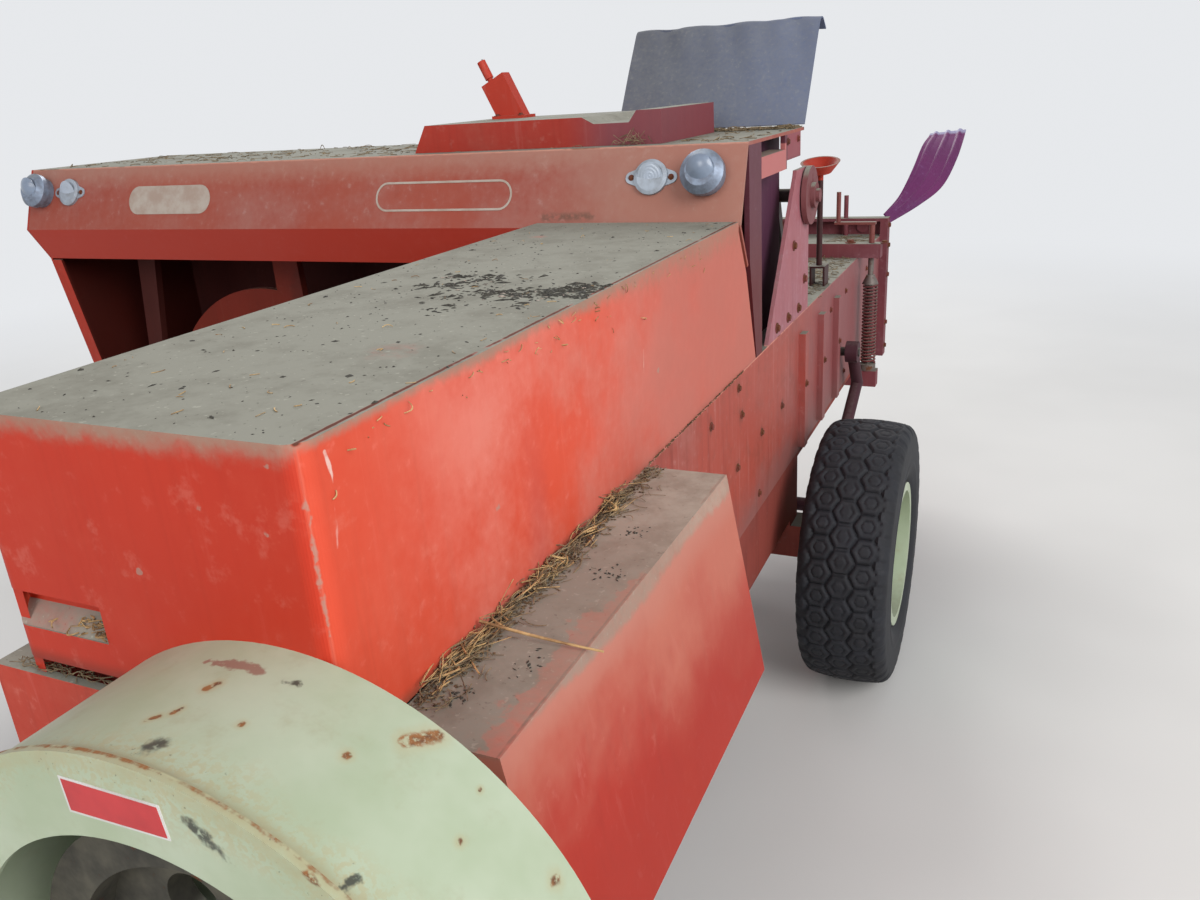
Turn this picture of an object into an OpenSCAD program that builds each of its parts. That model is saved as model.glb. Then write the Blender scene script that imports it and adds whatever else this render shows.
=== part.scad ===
// Square baler, towed. Millimetres. +X is the machine's left side, +Y its rear, +Z up.
// The origin is on the ground, under the middle of the machine's overall box.

/* [Wheels] */
// Outer radius of the tyres
tyre_r = 380; // [360:1:400]
// Width of the tyres
tyre_w = 240; // [200:1:250]
// Radius of the rim's barrel
rim_r = 195; // [170:1:205]
// Half of the track, from the middle to a tyre's centre
half_track = 1180; // [1160:1:1200]
// Distance of the axle behind the origin
axle_y = 620; // [610:1:630]
// Side of the square axle beam
axle_side = 100; // [80:1:110]
// Radius of the wheel spindles
spindle_r = 30; // [20:1:36]

/* [Bale chamber] */
// Outer width of the bale chamber
ch_w = 490; // [480:1:500]
// Outer height of the bale chamber
ch_h = 420; // [400:1:430]
// Gap between the chamber's left side and the left tyre
wheel_gap = 80; // [70:1:90]
// Underside of the chamber's floor above the ground
ch_z0 = 640; // [630:1:650]
// Thickness of the chamber's walls
ch_wall = 14; // [10:1:18]
// Rear end of the chamber
ch_y1 = 2150; // [2140:1:2160]
// How far the side ribs stand out
rib_out = 18; // [10:1:20]

/* [Front hood] */
// Height of the hood's top above the ground
hood_z1 = 1400; // [1390:1:1410]
// Front face of the hood
hood_y0 = -1365; // [-1370:1:-1360]
// Thickness of folded sheet covers
sheet = 6; // [4:1:8]

/* [Flywheel] */
// Distance of the flywheel's shaft inside the chamber's left side
fly_in = 76; // [72:1:80]
// Height of the flywheel's shaft
fly_z = 803; // [798:1:808]
// Outer radius of the flywheel guard
guard_r = 374; // [366:1:378]
// Radius of the opening in the guard's front ring
guard_hole_r = 290; // [275:1:305]
// Depth of the guard along the shaft
guard_len = 200; // [195:1:205]
// Radius of the flywheel
fly_r = 262; // [240:1:275]
// Radius of the power input stub
stub_r = 17.5; // [15:0.5:20]
// Length of the power input stub
stub_len = 80; // [70:1:100]

/* [Feeder housing] */
// How far the feeder housing reaches past the right tyre
house_over = 4; // [0:1:15]
// Height of the housing's top
house_z1 = 1560; // [1550:1:1570]
// Rear face of the housing
house_y1 = 690; // [680:1:700]
// Thickness of the housing's sheet
house_t = 8; // [6:1:10]
// Gap between the right tyre and the shelf over it
shelf_gap = 40; // [35:1:55]

/* [Pickup] */
// Radius of the stripper bands
band_r = 190; // [185:1:200]
// Number of stripper bands
band_n = 22; // [18:1:24]
// Radius to the tips of the tines
tine_r = 250; // [235:1:260]
// Radius of the tine wire
tine_wire = 3.5; // [3:0.5:5]

/* [Drawbar] */
// Side of the drawbar's square tube
bar_side = 100; // [80:1:104]
// Radius of the hole in the drawbar eye
eye_r = 20; // [16:1:24]
// Distance of the drawbar eye in front of the origin
eye_y = 2700; // [2650:1:2750]

/* [Density control] */
// Outer radius of the density springs
spring_r = 29; // [25:1:32]
// Radius of the spring wire
spring_wire = 5.5; // [3:0.5:6]
// Turns of a density spring
spring_turns = 20; // [14:1:22]

/* [Needles] */
// Radius of the needles' arc about the yoke's pivot
needle_arc_r = 560; // [550:1:565]
// Distance of the yoke's pivot behind the origin
yoke_y = 1250; // [1245:1:1260]
// Height of the yoke's pivot
yoke_z = 800; // [795:1:805]

/* [Hidden] */

$fn = 48;

// Clearances
seat = 0.3;      // between pieces that rest on each other without touching
run = 0.05;      // radial, between a pin and its bore
// Derived places
ch_x1 = half_track - tyre_w / 2 - wheel_gap;
ch_x0 = ch_x1 - ch_w;
ch_z1 = ch_z0 + ch_h;
ch_xm = ch_x0 + ch_w / 2;
front_len = 665;
ch_y0 = hood_y0 + front_len;
window_y1 = house_y1 - 10;
window_y0 = window_y1 - 520;
fly_x = ch_x1 - fly_in;
house_x0 = -(half_track + tyre_w / 2 + house_over);
shelf_z = 2 * tyre_r + shelf_gap;
shaft_hole_r = 70;
guard_y1 = hood_y0;
guard_y0 = guard_y1 - guard_len;
house_x1 = ch_x1;
lip_low = [132, house_z1 - 270];
lip_fold = [76, house_z1 - 173];
lip_top = [143, house_z1];
axle_z0 = tyre_r - 30;
axle_z1 = axle_z0 + axle_side;
axle_end = half_track - tyre_w / 2 - 20;
rail_z0 = 470;
rail_t = 12;
rail_y1 = 560;
panel_t = 12;
cross_side = 100;
cross_y0 = hood_y0 + panel_t;
cross_z0 = rail_z0 + 10;
cross_z1 = ch_z0 - 10;
shelf_x = -(half_track - tyre_w / 2 - 8);
paint = "orangered";
dark = "dimgray";
cream = "beige";

// Box between two corners
module block(lo, hi) { translate(lo) cube(hi - lo); }

// Cylinder along X, Y or Z from a to b
module xrod(r, a, b, y, z) { translate([a, y, z]) rotate([0, 90, 0]) cylinder(r = r, h = b - a); }
module yrod(r, a, b, x, z) { translate([x, a, z]) rotate([-90, 0, 0]) cylinder(r = r, h = b - a); }
module zrod(r, a, b, x, y) { translate([x, y, a]) cylinder(r = r, h = b - a); }

// A drawing in Y and Z made a plate from x = a to x = b
module plate_x(a, b) { translate([a, 0, 0]) rotate([90, 0, 90]) linear_extrude(b - a) children(); }
// A drawing in X and Z made a plate from y = a to y = b
module plate_y(a, b) { translate([0, b, 0]) rotate([90, 0, 0]) linear_extrude(b - a) children(); }

// Outline of a folded sheet: the outer fold points and the same points set in by the thickness t,
// to the right of the direction in which the points run
function unit(v) = v / norm(v);
function right_of(v) = [v[1], -v[0]];
function inset(p, i, t) =
    i == 0 ? p[0] + t * right_of(unit(p[1] - p[0])) :
    i == len(p) - 1 ? p[i] + t * right_of(unit(p[i] - p[i - 1])) :
    let (a = right_of(unit(p[i] - p[i - 1])), b = right_of(unit(p[i + 1] - p[i])))
    p[i] + t * (a + b) / (1 + a * b);
function folded(p, t) = concat(p, [for (i = [len(p) - 1 : -1 : 0]) inset(p, i, t)]);

// A straight tube or bar between two points in space
module strut(p, q, r) {
    d = q - p;
    translate(p) rotate([0, acos(d[2] / norm(d)), atan2(d[1], d[0])]) cylinder(r = r, h = norm(d));
}

// Wheels
module tyre() {
    shoulder = 45;
    flank = tyre_w / 2;
    rotate([0, 90, 0]) rotate_extrude($fn = 96) difference() {
        union() {
            translate([rim_r + seat, -flank + 22]) square([tyre_r - shoulder - rim_r, 2 * flank - 44]);
            translate([rim_r + 40, -flank]) square([tyre_r - shoulder - rim_r - 40, 2 * flank]);
            translate([tyre_r - shoulder - 1, -flank + shoulder])
                square([shoulder + 1, 2 * (flank - shoulder)]);
            for (side = [-1, 1]) translate([tyre_r - shoulder, side * (flank - shoulder)])
                circle(r = shoulder, $fn = 32);
        }
    }
}

module rim() {
    barrel = tyre_w / 2 - 22;
    rotate([0, 90, 0]) difference() {
        rotate_extrude($fn = 96) {
            // barrel, its two flanges, the disc and the hub
            translate([rim_r - 12, -barrel]) square([12, 2 * barrel]);
            for (side = [-1, 1]) translate([rim_r - 12, side * (barrel + 6) - 6]) square([24, 12]);
            translate([60, 20]) square([rim_r - 66, 10]);
            translate([spindle_r + run, -axle_gap()]) square([40, axle_gap() + 50]);
            translate([0, 42]) square([spindle_r + 30, 28]);
        }
        for (a = [0 : 60 : 300]) rotate([0, 0, a]) translate([130, 0, 0]) cylinder(r = 18, h = 60);
    }
}
function axle_gap() = tyre_w / 2 + 19;

module left_tyre() { color(dark) translate([half_track, axle_y, tyre_r]) tyre(); }
module right_tyre() { color(dark) translate([-half_track, axle_y, tyre_r]) mirror([1, 0, 0]) tyre(); }
module left_rim() { color(cream) translate([half_track, axle_y, tyre_r]) rim(); }
module right_rim() { color(cream) translate([-half_track, axle_y, tyre_r]) mirror([1, 0, 0]) rim(); }

// Axle beam with its spindles and the two brackets that carry the chamber
module axle() color(paint) {
    block([-axle_end, axle_y - axle_side / 2, axle_z0], [axle_end, axle_y + axle_side / 2, axle_z1]);
    for (side = [-1, 1]) {
        a = side > 0 ? axle_end : -half_track - 40;
        xrod(spindle_r, a, a + half_track + 40 - axle_end, axle_y, tyre_r);
    }
    for (x = [ch_x0, ch_x1 - 40])
        block([x, rail_y1, axle_z1], [x + 40, axle_y + 30, ch_z0]);
}

// Frame rails: two channels under the chamber's edges, open to the middle
module frame_rails() color(paint) for (side = [0, 1])
    translate([ch_xm, 0, 0]) mirror([side, 0, 0]) plate_y(cross_y0, rail_y1) {
        translate([ch_w / 2 - rail_t, rail_z0]) square([rail_t, ch_z0 - rail_z0]);
        translate([ch_w / 2 - 45, rail_z0]) square([45, 10]);
        translate([ch_w / 2 - 45, ch_z0 - 10]) square([45, 10]);
    }

// Cross tubes between the rails
module frame_cross() color(paint) for (y = [cross_y0, ch_y0 - 60, rail_y1 - 460])
    block([ch_x0 + rail_t, y, cross_z0], [ch_x1 - rail_t, y + cross_side, cross_z1]);

// Legs that carry the feed floor on the axle
leg_side = 60;
module platform_legs() color(paint) for (x = [shelf_x + 152, (shelf_x + ch_x0) / 2 - 19, ch_x0 - 240])
    block([x, axle_y - 45, axle_z1], [x + leg_side, axle_y + 45, ch_z0 - house_t]);

// Bale chamber
needle_x = [ch_xm - 115, ch_xm + 115];
function arc_y(z) = yoke_y - sqrt(needle_arc_r * needle_arc_r - (z - yoke_z) * (z - yoke_z));
module needle_slots(z) for (x = needle_x)
    block([x - 16, arc_y(z) - 60, z - 1], [x + 16, arc_y(z) + 60, z + ch_wall + 1]);

module chamber_floor() color(paint) difference() {
    block([ch_x0, ch_y0, ch_z0], [ch_x1, ch_y1, ch_z0 + ch_wall]);
    needle_slots(ch_z0);
}

rib_y = [house_y1 - 10, yoke_y - 320, yoke_y - 80];
meter_y = yoke_y + 100;
module side_ribs(x) for (y = rib_y)
    block([x, y - 20, ch_z0 + 25], [x + rib_out, y + 20, ch_z1 - 55]);

module chamber_left() color(paint) {
    block([ch_x1 - ch_wall, ch_y0, ch_z0 + ch_wall], [ch_x1, ch_y1, ch_z1 - ch_wall]);
    side_ribs(ch_x1);
}
module chamber_right_front() color(paint)
    block([ch_x0, ch_y0, ch_z0 + ch_wall], [ch_x0 + ch_wall, window_y0, ch_z1 - ch_wall]);
module chamber_right_rear() color(paint) {
    block([ch_x0, window_y1, ch_z0 + ch_wall], [ch_x0 + ch_wall, ch_y1, ch_z1 - ch_wall]);
    for (y = [rib_y[1], rib_y[2]])
        block([ch_x0 - rib_out, y - 20, ch_z0 + 25], [ch_x0, y + 20, ch_z1 - 55]);
}
module chamber_roof() color(paint) difference() {
    block([ch_x0, ch_y0, ch_z1 - ch_wall], [ch_x1, ch_y1, ch_z1]);
    needle_slots(ch_z1 - ch_wall);
    block([ch_xm - 14, meter_y - 120, ch_z1 - ch_wall - 1], [ch_xm + 14, meter_y + 120, ch_z1 + 1]);
}

// Front panel with its right side, under the hood
panel_x0 = ch_x0 - 64;
panel_z0 = ch_z0 - 80;
module front_panel() color(paint) difference() {
    union() {
        block([panel_x0, hood_y0, panel_z0], [ch_x1, cross_y0, ch_z1]);
        block([panel_x0, cross_y0, panel_z0], [panel_x0 + 8, ch_y0, ch_z1]);
        block([panel_x0 + 8, cross_y0, ch_z1 - 8], [ch_x0, ch_y0, ch_z1]);
    }
    yrod(shaft_hole_r, hood_y0 - 1, cross_y0 + 1, fly_x, fly_z);
}

// Hood: a folded box, open below, its sides running back under the housing's lip
hood_z0 = ch_z1 + seat;
hood_side = [[hood_y0, hood_z0], [hood_y0, hood_z1], [64, hood_z1], [64, house_z1 - 182],
    [120, house_z1 - 279], [196, hood_z0]];
module hood_plan(in, y1) {
    r = 25;
    x0 = ch_x0 + in;
    x1 = ch_x1 - in;
    y0 = hood_y0 + in;
    hull() {
        for (x = [x0 + r, x1 - r]) translate([x, y0 + r]) circle(r = r);
        translate([x0, y1 - 10]) square([x1 - x0, 10]);
    }
}
// Finger pocket in the front face: [depth, height above the chamber] of its folded shell
pocket_x0 = ch_x0 + 2;
pocket_x1 = ch_x0 + 168;
pocket = [[0, 62], [28, 88], [28, 122], [0, 122]];
pocket_out = [for (p = pocket) [hood_y0 + p[0], ch_z1 + p[1]]];
front_gap = 26;
module front_hood() color(paint) {
    difference() {
        intersection() {
            plate_x(ch_x0, ch_x1) polygon(hood_side);
            translate([0, 0, hood_z0]) linear_extrude(hood_z1) hood_plan(0, 300);
        }
        translate([0, 0, hood_z0 - 1]) linear_extrude(hood_z1 - hood_z0 + 1 - sheet) hood_plan(sheet, 310);
        block([pocket_x0 + sheet, hood_y0 - 1, ch_z1 + 70], [pocket_x1 - sheet, hood_y0 + sheet + 1, ch_z1 + 118]);
        block([ch_x0 - 1, hood_y0 - 1, hood_z0 - 1], [ch_x1 - 40, hood_y0 + sheet + 1, ch_z1 + front_gap]);
    }
    intersection() {
        difference() {
            plate_x(pocket_x0, pocket_x1) polygon(pocket_out);
            plate_x(pocket_x0 + sheet, pocket_x1 - sheet)
                polygon([pocket_out[0] + [-1, 5], pocket_out[1] + [-4, 5], pocket_out[2] - [4, 4], pocket_out[3] - [1, 4]]);
        }
        linear_extrude(hood_z1) hood_plan(0, 300);
    }
}

// Gearbox: one block with a split flange, with feet on the left rail and the input boss in front
gear_w = 200;
gear_h = 240;
gear_len = 450;
gear_y0 = hood_y0 + 65;
gear_z0 = fly_z - 115;
boss_y0 = gear_y0 - 40;
module gearbox() color("silver") {
    block([fly_x - gear_w / 2, gear_y0, gear_z0], [fly_x + gear_w / 2, gear_y0 + gear_len, gear_z0 + gear_h]);
    block([fly_x - gear_w / 2 - 15, gear_y0 + 30, gear_z0 + gear_h / 2 + 20],
        [fly_x + gear_w / 2 + 15, gear_y0 + gear_len - 30, gear_z0 + gear_h / 2 + 44]);
    for (y = [gear_y0 + 10, gear_y0 + gear_len - 90]) block([fly_x - 50, y, ch_z0], [ch_x1, y + 80, gear_z0]);
    yrod(60, boss_y0, gear_y0, fly_x, fly_z);
}

// Side guard: folded sheet with a leaning outer face, open towards the gearbox and below
side_top = 145;
side_low = 210;
side_z0 = ch_z0 + 44;
guard_out = [[ch_x1, ch_z1 - 2], [ch_x1 + side_top, ch_z1 - 2], [ch_x1 + side_low, side_z0]];
side_y0 = hood_y0 + 50;
side_y1 = side_y0 + 790;
module side_guard() color(paint) {
    plate_y(side_y0, side_y1) polygon(folded(guard_out, sheet));
    for (y = [side_y0, side_y1 - sheet]) plate_y(y, y + sheet)
        polygon([[ch_x1 + 76, side_z0], [ch_x1 + 76, side_z0 + 216], [ch_x1, ch_z1 - 70],
            [ch_x1, ch_z1 - 2 - sheet], guard_out[1] - [4, sheet], guard_out[2] - [sheet, 0]]);
}

// Flywheel guard: drum with a beaded front ring and a back plate
module flywheel_guard() color(cream) translate([fly_x, 0, fly_z]) rotate([-90, 0, 0]) {
    translate([0, 0, guard_y0]) difference() {
        union() {
            cylinder(r = guard_r, h = guard_len, $fn = 96);
            cylinder(r = guard_r + 6, h = 9, $fn = 96);
        }
        translate([0, 0, sheet]) cylinder(r = guard_r - sheet, h = guard_len - 2 * sheet, $fn = 96);
        translate([0, 0, -1]) cylinder(r = guard_hole_r, h = sheet + 2, $fn = 96);
        cylinder(r = shaft_hole_r, h = guard_len + 1);
    }
}

// Flywheel on its shaft, with the power input stub in front
module flywheel() color("dimgray") {
    rim_y0 = guard_y0 + 50;
    translate([fly_x, 0, fly_z]) rotate([-90, 0, 0]) difference() {
        union() {
            translate([0, 0, rim_y0]) difference() {
                cylinder(r = fly_r, h = 110, $fn = 96);
                translate([0, 0, -1]) cylinder(r = fly_r - 50, h = 41, $fn = 96);
                translate([0, 0, 70]) cylinder(r = fly_r - 50, h = 41, $fn = 96);
            }
            translate([0, 0, rim_y0 - 20]) cylinder(r = 62, h = 150);
            translate([0, 0, rim_y0 - 60]) cylinder(r = 36, h = 60);
            translate([0, 0, rim_y0 - 60 - stub_len]) cylinder(r = stub_r, h = stub_len + 1);
            translate([0, 0, rim_y0 + 120]) cylinder(r = 25, h = boss_y0 - seat - rim_y0 - 120);
        }
        for (a = [0 : 60 : 300]) rotate([0, 0, a]) translate([135, 0, rim_y0 + 20]) cylinder(r = 38, h = 80);
    }
}

// Feeder housing
module housing_top() color(paint)
    plate_x(house_x0 + house_t, house_x1)
        polygon(folded([lip_low, lip_fold, lip_top, [house_y1, house_z1]], house_t));

module housing_back() color(paint) plate_y(house_y1 - house_t, house_y1)
    polygon([[house_x0 + house_t, shelf_z], [shelf_x, shelf_z], [shelf_x, ch_z0 - house_t], [ch_x0, ch_z0 - house_t],
        [ch_x0, house_z1 - house_t], [house_x0 + house_t, house_z1 - house_t]]);

module housing_end() color(paint) {
    plate_x(house_x0, house_x0 + house_t)
        polygon([lip_low, lip_fold, lip_top, [house_y1, house_z1], [house_y1, shelf_z - house_t],
            [215, shelf_z - house_t], [190, 930]]);
    // turned-in front edge
    plate_x(house_x0 + house_t, house_x0 + 45)
        polygon([[140, 1285], [190 + 8, 930], [215 + 8, shelf_z], [215, shelf_z], [190, 930], [132, 1285]]);
}

module feed_floor() color(paint) {
    plate_y(224, house_y1 - house_t)
        polygon(folded([[house_x0 + house_t, shelf_z], [shelf_x, shelf_z], [shelf_x, ch_z0], [ch_x0, ch_z0]], house_t));
    plate_y(204, 224) polygon([[shelf_x, ch_z0 - 35], [shelf_x, ch_z0], [ch_x0, ch_z0], [ch_x0, ch_z0 - 35]]);
    for (x = pivot_x) difference() {
        block([x, 224, pickup_pz - 30], [x + 12, 262, ch_z0 - house_t]);
        xrod(12 + run, x - 1, x + 13, pickup_py, pickup_pz);
    }
}

// Cover of the feeder drive on the housing's top: a folded shell, from [x left of the chamber's side, rise]
cover_line = [[-900, 0], [-862, 66], [-420, 66], [-390, 50], [-300, 50], [-280, 76], [-220, 76], [-220, 0]];
cover_out = [for (p = cover_line) [ch_x1 + p[0], house_z1 + seat + p[1]]];
cover_y0 = 200;
cover_y1 = 600;
module drive_cover() color(paint) difference() {
    union() {
        plate_y(cover_y0, cover_y1) polygon(folded(cover_out, sheet));
        for (y = [cover_y0, cover_y1 - sheet]) plate_y(y, y + sheet) polygon(cover_out);
    }
    block([ch_x1 - 1000, cover_y0 - 1, house_z1 - 50], [ch_x1, cover_y1 + 1, house_z1 + seat]);
}

// Hand lever on its channel bracket, leaning to the right
module hand_lever() color(paint) {
    lean = -26;
    foot = house_z1 + seat + cover_line[1][1];
    difference() {
        translate([ch_x1 - 765, 500, foot + 4]) rotate([0, lean, 0]) difference() {
            translate([-38, -20, -20]) cube([76, 40, 130]);
            translate([-32, -14, 20]) cube([64, 40, 96]);
        }
        block([ch_x1 - 900, 400, foot - 60], [ch_x1 - 600, 600, foot]);
    }
    block([ch_x1 - 815, 466, foot], [ch_x1 - 715, 534, foot + 8]);
    translate([ch_x1 - 765, 500, foot + 4]) rotate([0, lean, 0]) translate([-14, 0, 10]) {
        cylinder(r = 8, h = 115);
        translate([0, 0, 110]) cylinder(r = 12, h = 50);
    }
}

// Packer: a rail under the housing's top and the fork carriage that slides along it
rail_y = 430;
rail_z = 1440;
rail_r = 30;
rail_x0 = house_x0 + 70;
rail_x1 = ch_x0 - 20;
fork_x0 = house_x0 + 170;
fork_x1 = ch_x0 - 420;
sickle = [house_x0 + 690, ch_z0 + 93];
sickle_r = 440;
module packer_rail() color(dark) {
    xrod(rail_r, rail_x0, rail_x1, rail_y, rail_z);
    for (x = [rail_x0, rail_x1 - 14])
        block([x, rail_y - 34, rail_z], [x + 14, rail_y + 34, house_z1 - house_t]);
}
fork_y = 300;
module packer_forks() color(paint) {
    difference() {
        union() {
            for (x = [fork_x0, fork_x0 + 580, fork_x1 - 130]) xrod(46, x, x + 130, rail_y, rail_z);
            block([fork_x0, rail_y - 30, rail_z - 70], [fork_x1, rail_y + 30, rail_z - 36]);
            block([fork_x0, fork_y, rail_z - 70], [fork_x1, rail_y, rail_z - 50]);
        }
        xrod(rail_r + run, house_x0, ch_x0, rail_y, rail_z);
    }
    // straight arm, arm with a rounded plate and short arm, all in one plane
    plate_y(fork_y, fork_y + 24) {
        polygon([[fork_x0 + 30, rail_z - 60], [fork_x0 + 110, rail_z - 60], [fork_x0 + 20, shelf_z + 35],
            [fork_x0 - 40, shelf_z + 20]]);
        translate(sickle) intersection() {
            circle(r = sickle_r, $fn = 96);
            translate([-400, 130]) square([760, sickle_r]);
        }
        polygon([[fork_x0 + 580, rail_z - 60], [fork_x0 + 670, rail_z - 60], [sickle[0] + 160, sickle[1] + 360],
            [sickle[0] + 60, sickle[1] + 360]]);
        polygon([[fork_x1 - 100, rail_z - 60], [fork_x1 - 20, rail_z - 60], [fork_x1 - 60, ch_z0 + 80],
            [fork_x1 - 120, ch_z0 + 60]]);
    }
}

// Marker lamps and reflectors on the slanted face of the housing
face_tilt = atan2(lip_top[0] - lip_fold[0], lip_top[1] - lip_fold[1]);
module on_face(x, z) {
    y = lip_fold[0] + (z - lip_fold[1]) * tan(face_tilt);
    translate([x, y, z]) rotate([90 - face_tilt, 0, 0]) translate([0, 0, 0.1]) children();
}
lamp_z = house_z1 - 68;
module lamps() color("silver") for (x = [house_x0 + 65, ch_x1 - 87]) on_face(x, lamp_z) {
    cylinder(r = 44, h = 22);
    translate([0, 0, 22]) cylinder(r = 50, h = 16);
    translate([0, 0, 38]) cylinder(r1 = 50, r2 = 34, h = 14);
}
module reflectors() color("white") for (x = [house_x0 + 182, ch_x1 - 217]) on_face(x, lamp_z) {
    linear_extrude(3) hull() {
        circle(r = 30);
        for (side = [-1, 1]) translate([side * 48, 0]) circle(r = 14);
    }
    cylinder(r = 40, h = 8);
    translate([0, 0, 8]) cylinder(r1 = 40, r2 = 32, h = 3);
}

// Post at the housing's left end with the bracket and the plate on it
module housing_post() color(paint) {
    roof = house_z1 - house_t;
    plate_x(ch_x1 - 12, ch_x1)
        polygon([[204, ch_z1], [255, ch_z1], [255, roof], [152, roof], [152, 1300]]);
    block([ch_x1 - 60, 204, ch_z1], [ch_x1 - 12, 216, roof - 90]);
    block([ch_x1 - 45, 255, roof - 82], [ch_x1, 500, roof - 34]);
    block([ch_x1 - 12, 480, roof - 62], [ch_x1, 650, roof]);
}
// Sheet that closes the housing's left end behind the post
module housing_screen() color("brown")
    block([ch_x1 - 60, 216, ch_z1], [ch_x1 - 54, 640, house_z1 - house_t - 12]);

// Knotter stand: a gusset plate on each side of the chamber's top
knot_y = house_y1 + 30;
knot_z = ch_z1 + 320;
stand_side = [[knot_y - 410, ch_z1], [knot_y + 40, ch_z1], [knot_y + 40, knot_z + 54], [knot_y + 22, knot_z + 76],
    [knot_y - 112, knot_z + 76], [knot_y - 120, knot_z + 60]];
module knotter_stand() color(paint) for (x = [ch_x0, ch_x1 - 10]) difference() {
    plate_x(x, x + 10) polygon(stand_side);
    xrod(18 + run, x - 1, x + 11, knot_y, knot_z);
}

// Knotters on their shaft: each has a cam disc with two toothed parts, a cast frame, the twine disc,
// the bill hook and the knife arm; the clutch disc is on the left
cam_r = 115;
function cam_teeth(from, to, step) = [for (a = [from : step : to])
    for (p = [[cam_r - 8, -2.6], [cam_r + 9, -1.2], [cam_r + 9, 1.2], [cam_r - 8, 2.6]])
        p[0] * [cos(a + p[1]), sin(a + p[1])]];
module knotters() color("silver") {
    xrod(18, ch_x0 - 15, ch_x1 + 40, knot_y, knot_z);
    xrod(78, ch_x1 + 4, ch_x1 + 18, knot_y, knot_z);
    xrod(34, ch_x1 + 17, ch_x1 + 30, knot_y, knot_z);
    for (x = needle_x) {
        xrod(cam_r, x - 50, x - 34, knot_y, knot_z);
        xrod(52, x - 52, x + 26, knot_y, knot_z);
        translate([x - 50, knot_y, knot_z]) rotate([90, 0, 90]) linear_extrude(16)
            polygon(concat([[0, 0]], cam_teeth(-40, 30, 8)));
        translate([x - 50, knot_y, knot_z]) rotate([90, 0, 90]) linear_extrude(28)
            polygon(concat([[0, 0]], cam_teeth(150, 180, 8)));
        // frame from the shaft down to the chamber's top
        foot = ch_z1 + seat - knot_z;
        translate([x, knot_y, knot_z]) {
            plate_x(22, 36) polygon([[-40, 20], [40, 20], [130, -180], [130, -280], [80, foot], [125, foot],
                [150, -300], [165, -170], [70, 40], [-20, 50]]);
            // twine disc with its notched plates, on a cross shaft
            xrod(10, -24, 24, 150, -215);
            for (d = [-20, -8, 4]) xrod(38, d, d + 6, 150, -215);
            // bill hook's stem and beak, and the knife arm
            strut([-32, 104, -80], [-32, 84, -292], 9);
            strut([-32, 85, -284], [-32, 48, -290], 6);
            xrod(11, -42, 30, 104, -80);
            plate_x(-20, -13) polygon([[94, -70], [113, -75], [94, -250], [42, -295], [34, -282], [74, -244]]);
        }
    }
}

// Hood over the knotters, open, with its curled free edge
hinge_r = 7;
hood_hinge = [house_y1 + hinge_r + seat, house_z1 - 2];
hood_open = 56;
module knotter_hood() color(paint)
    translate([0, hood_hinge[0], hood_hinge[1]]) rotate([hood_open, 0, 0])
        plate_x(440, ch_x1) {
            translate([hinge_r + seat, -2.5]) square([320 - hinge_r - seat, 5]);
            translate([320, -32.5]) intersection() {
                difference() { circle(r = 35); circle(r = 30); }
                square(40);
            }
            translate([350, -72.5]) square([5, 40]);
        }
module knotter_hinge() color(dark) {
    for (x = [460, 900]) xrod(hinge_r, x, x + 60, hood_hinge[0], hood_hinge[1]);
}

// Needle yoke: bosses on pins at the chamber's sides, bent arms, a cross tube and two curved needles
yoke_x = 48;
needle_low = -24;
needle_len = 60;
function on_arc(a) = [yoke_y - needle_arc_r * cos(a), yoke_z + needle_arc_r * sin(a)];
module yoke_pivots() color(dark) {
    xrod(15, ch_x1, ch_x1 + yoke_x + 24, yoke_y, yoke_z);
    xrod(15, ch_x0 - yoke_x - 24, ch_x0, yoke_y, yoke_z);
}
module needle_yoke() color(paint) {
    root = on_arc(needle_low - needle_len);
    for (side = [-1, 1]) {
        x = side > 0 ? ch_x1 + yoke_x : ch_x0 - yoke_x;
        bend = [x, yoke_y + 112, 660];
        knee = [x, yoke_y - 90, 560];
        difference() {
            union() {
                xrod(36, x - 20, x + 20, yoke_y, yoke_z);
                strut([x, yoke_y + 18, yoke_z - 18], bend, 20);
                translate(bend) sphere(r = 21);
                strut(bend, knee, 20);
                translate(knee) sphere(r = 21);
                strut(knee, [x, root[0], root[1]], 20);
            }
            xrod(15 + run, x - 30, x + 30, yoke_y, yoke_z);
        }
    }
    xrod(24, ch_x0 - yoke_x - 17, ch_x1 + yoke_x + 17, root[0], root[1]);
    for (x = needle_x) translate([x - 7, yoke_y, yoke_z]) rotate([90, 0, 90]) linear_extrude(14)
        intersection() {
            difference() {
                circle(r = needle_arc_r + 11, $fn = 160);
                circle(r = needle_arc_r - 11, $fn = 160);
            }
            polygon([[0, 0], for (k = [0 : 4]) 700 * [-cos(needle_low - needle_len * k / 4),
                sin(needle_low - needle_len * k / 4)]]);
        }
}

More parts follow.
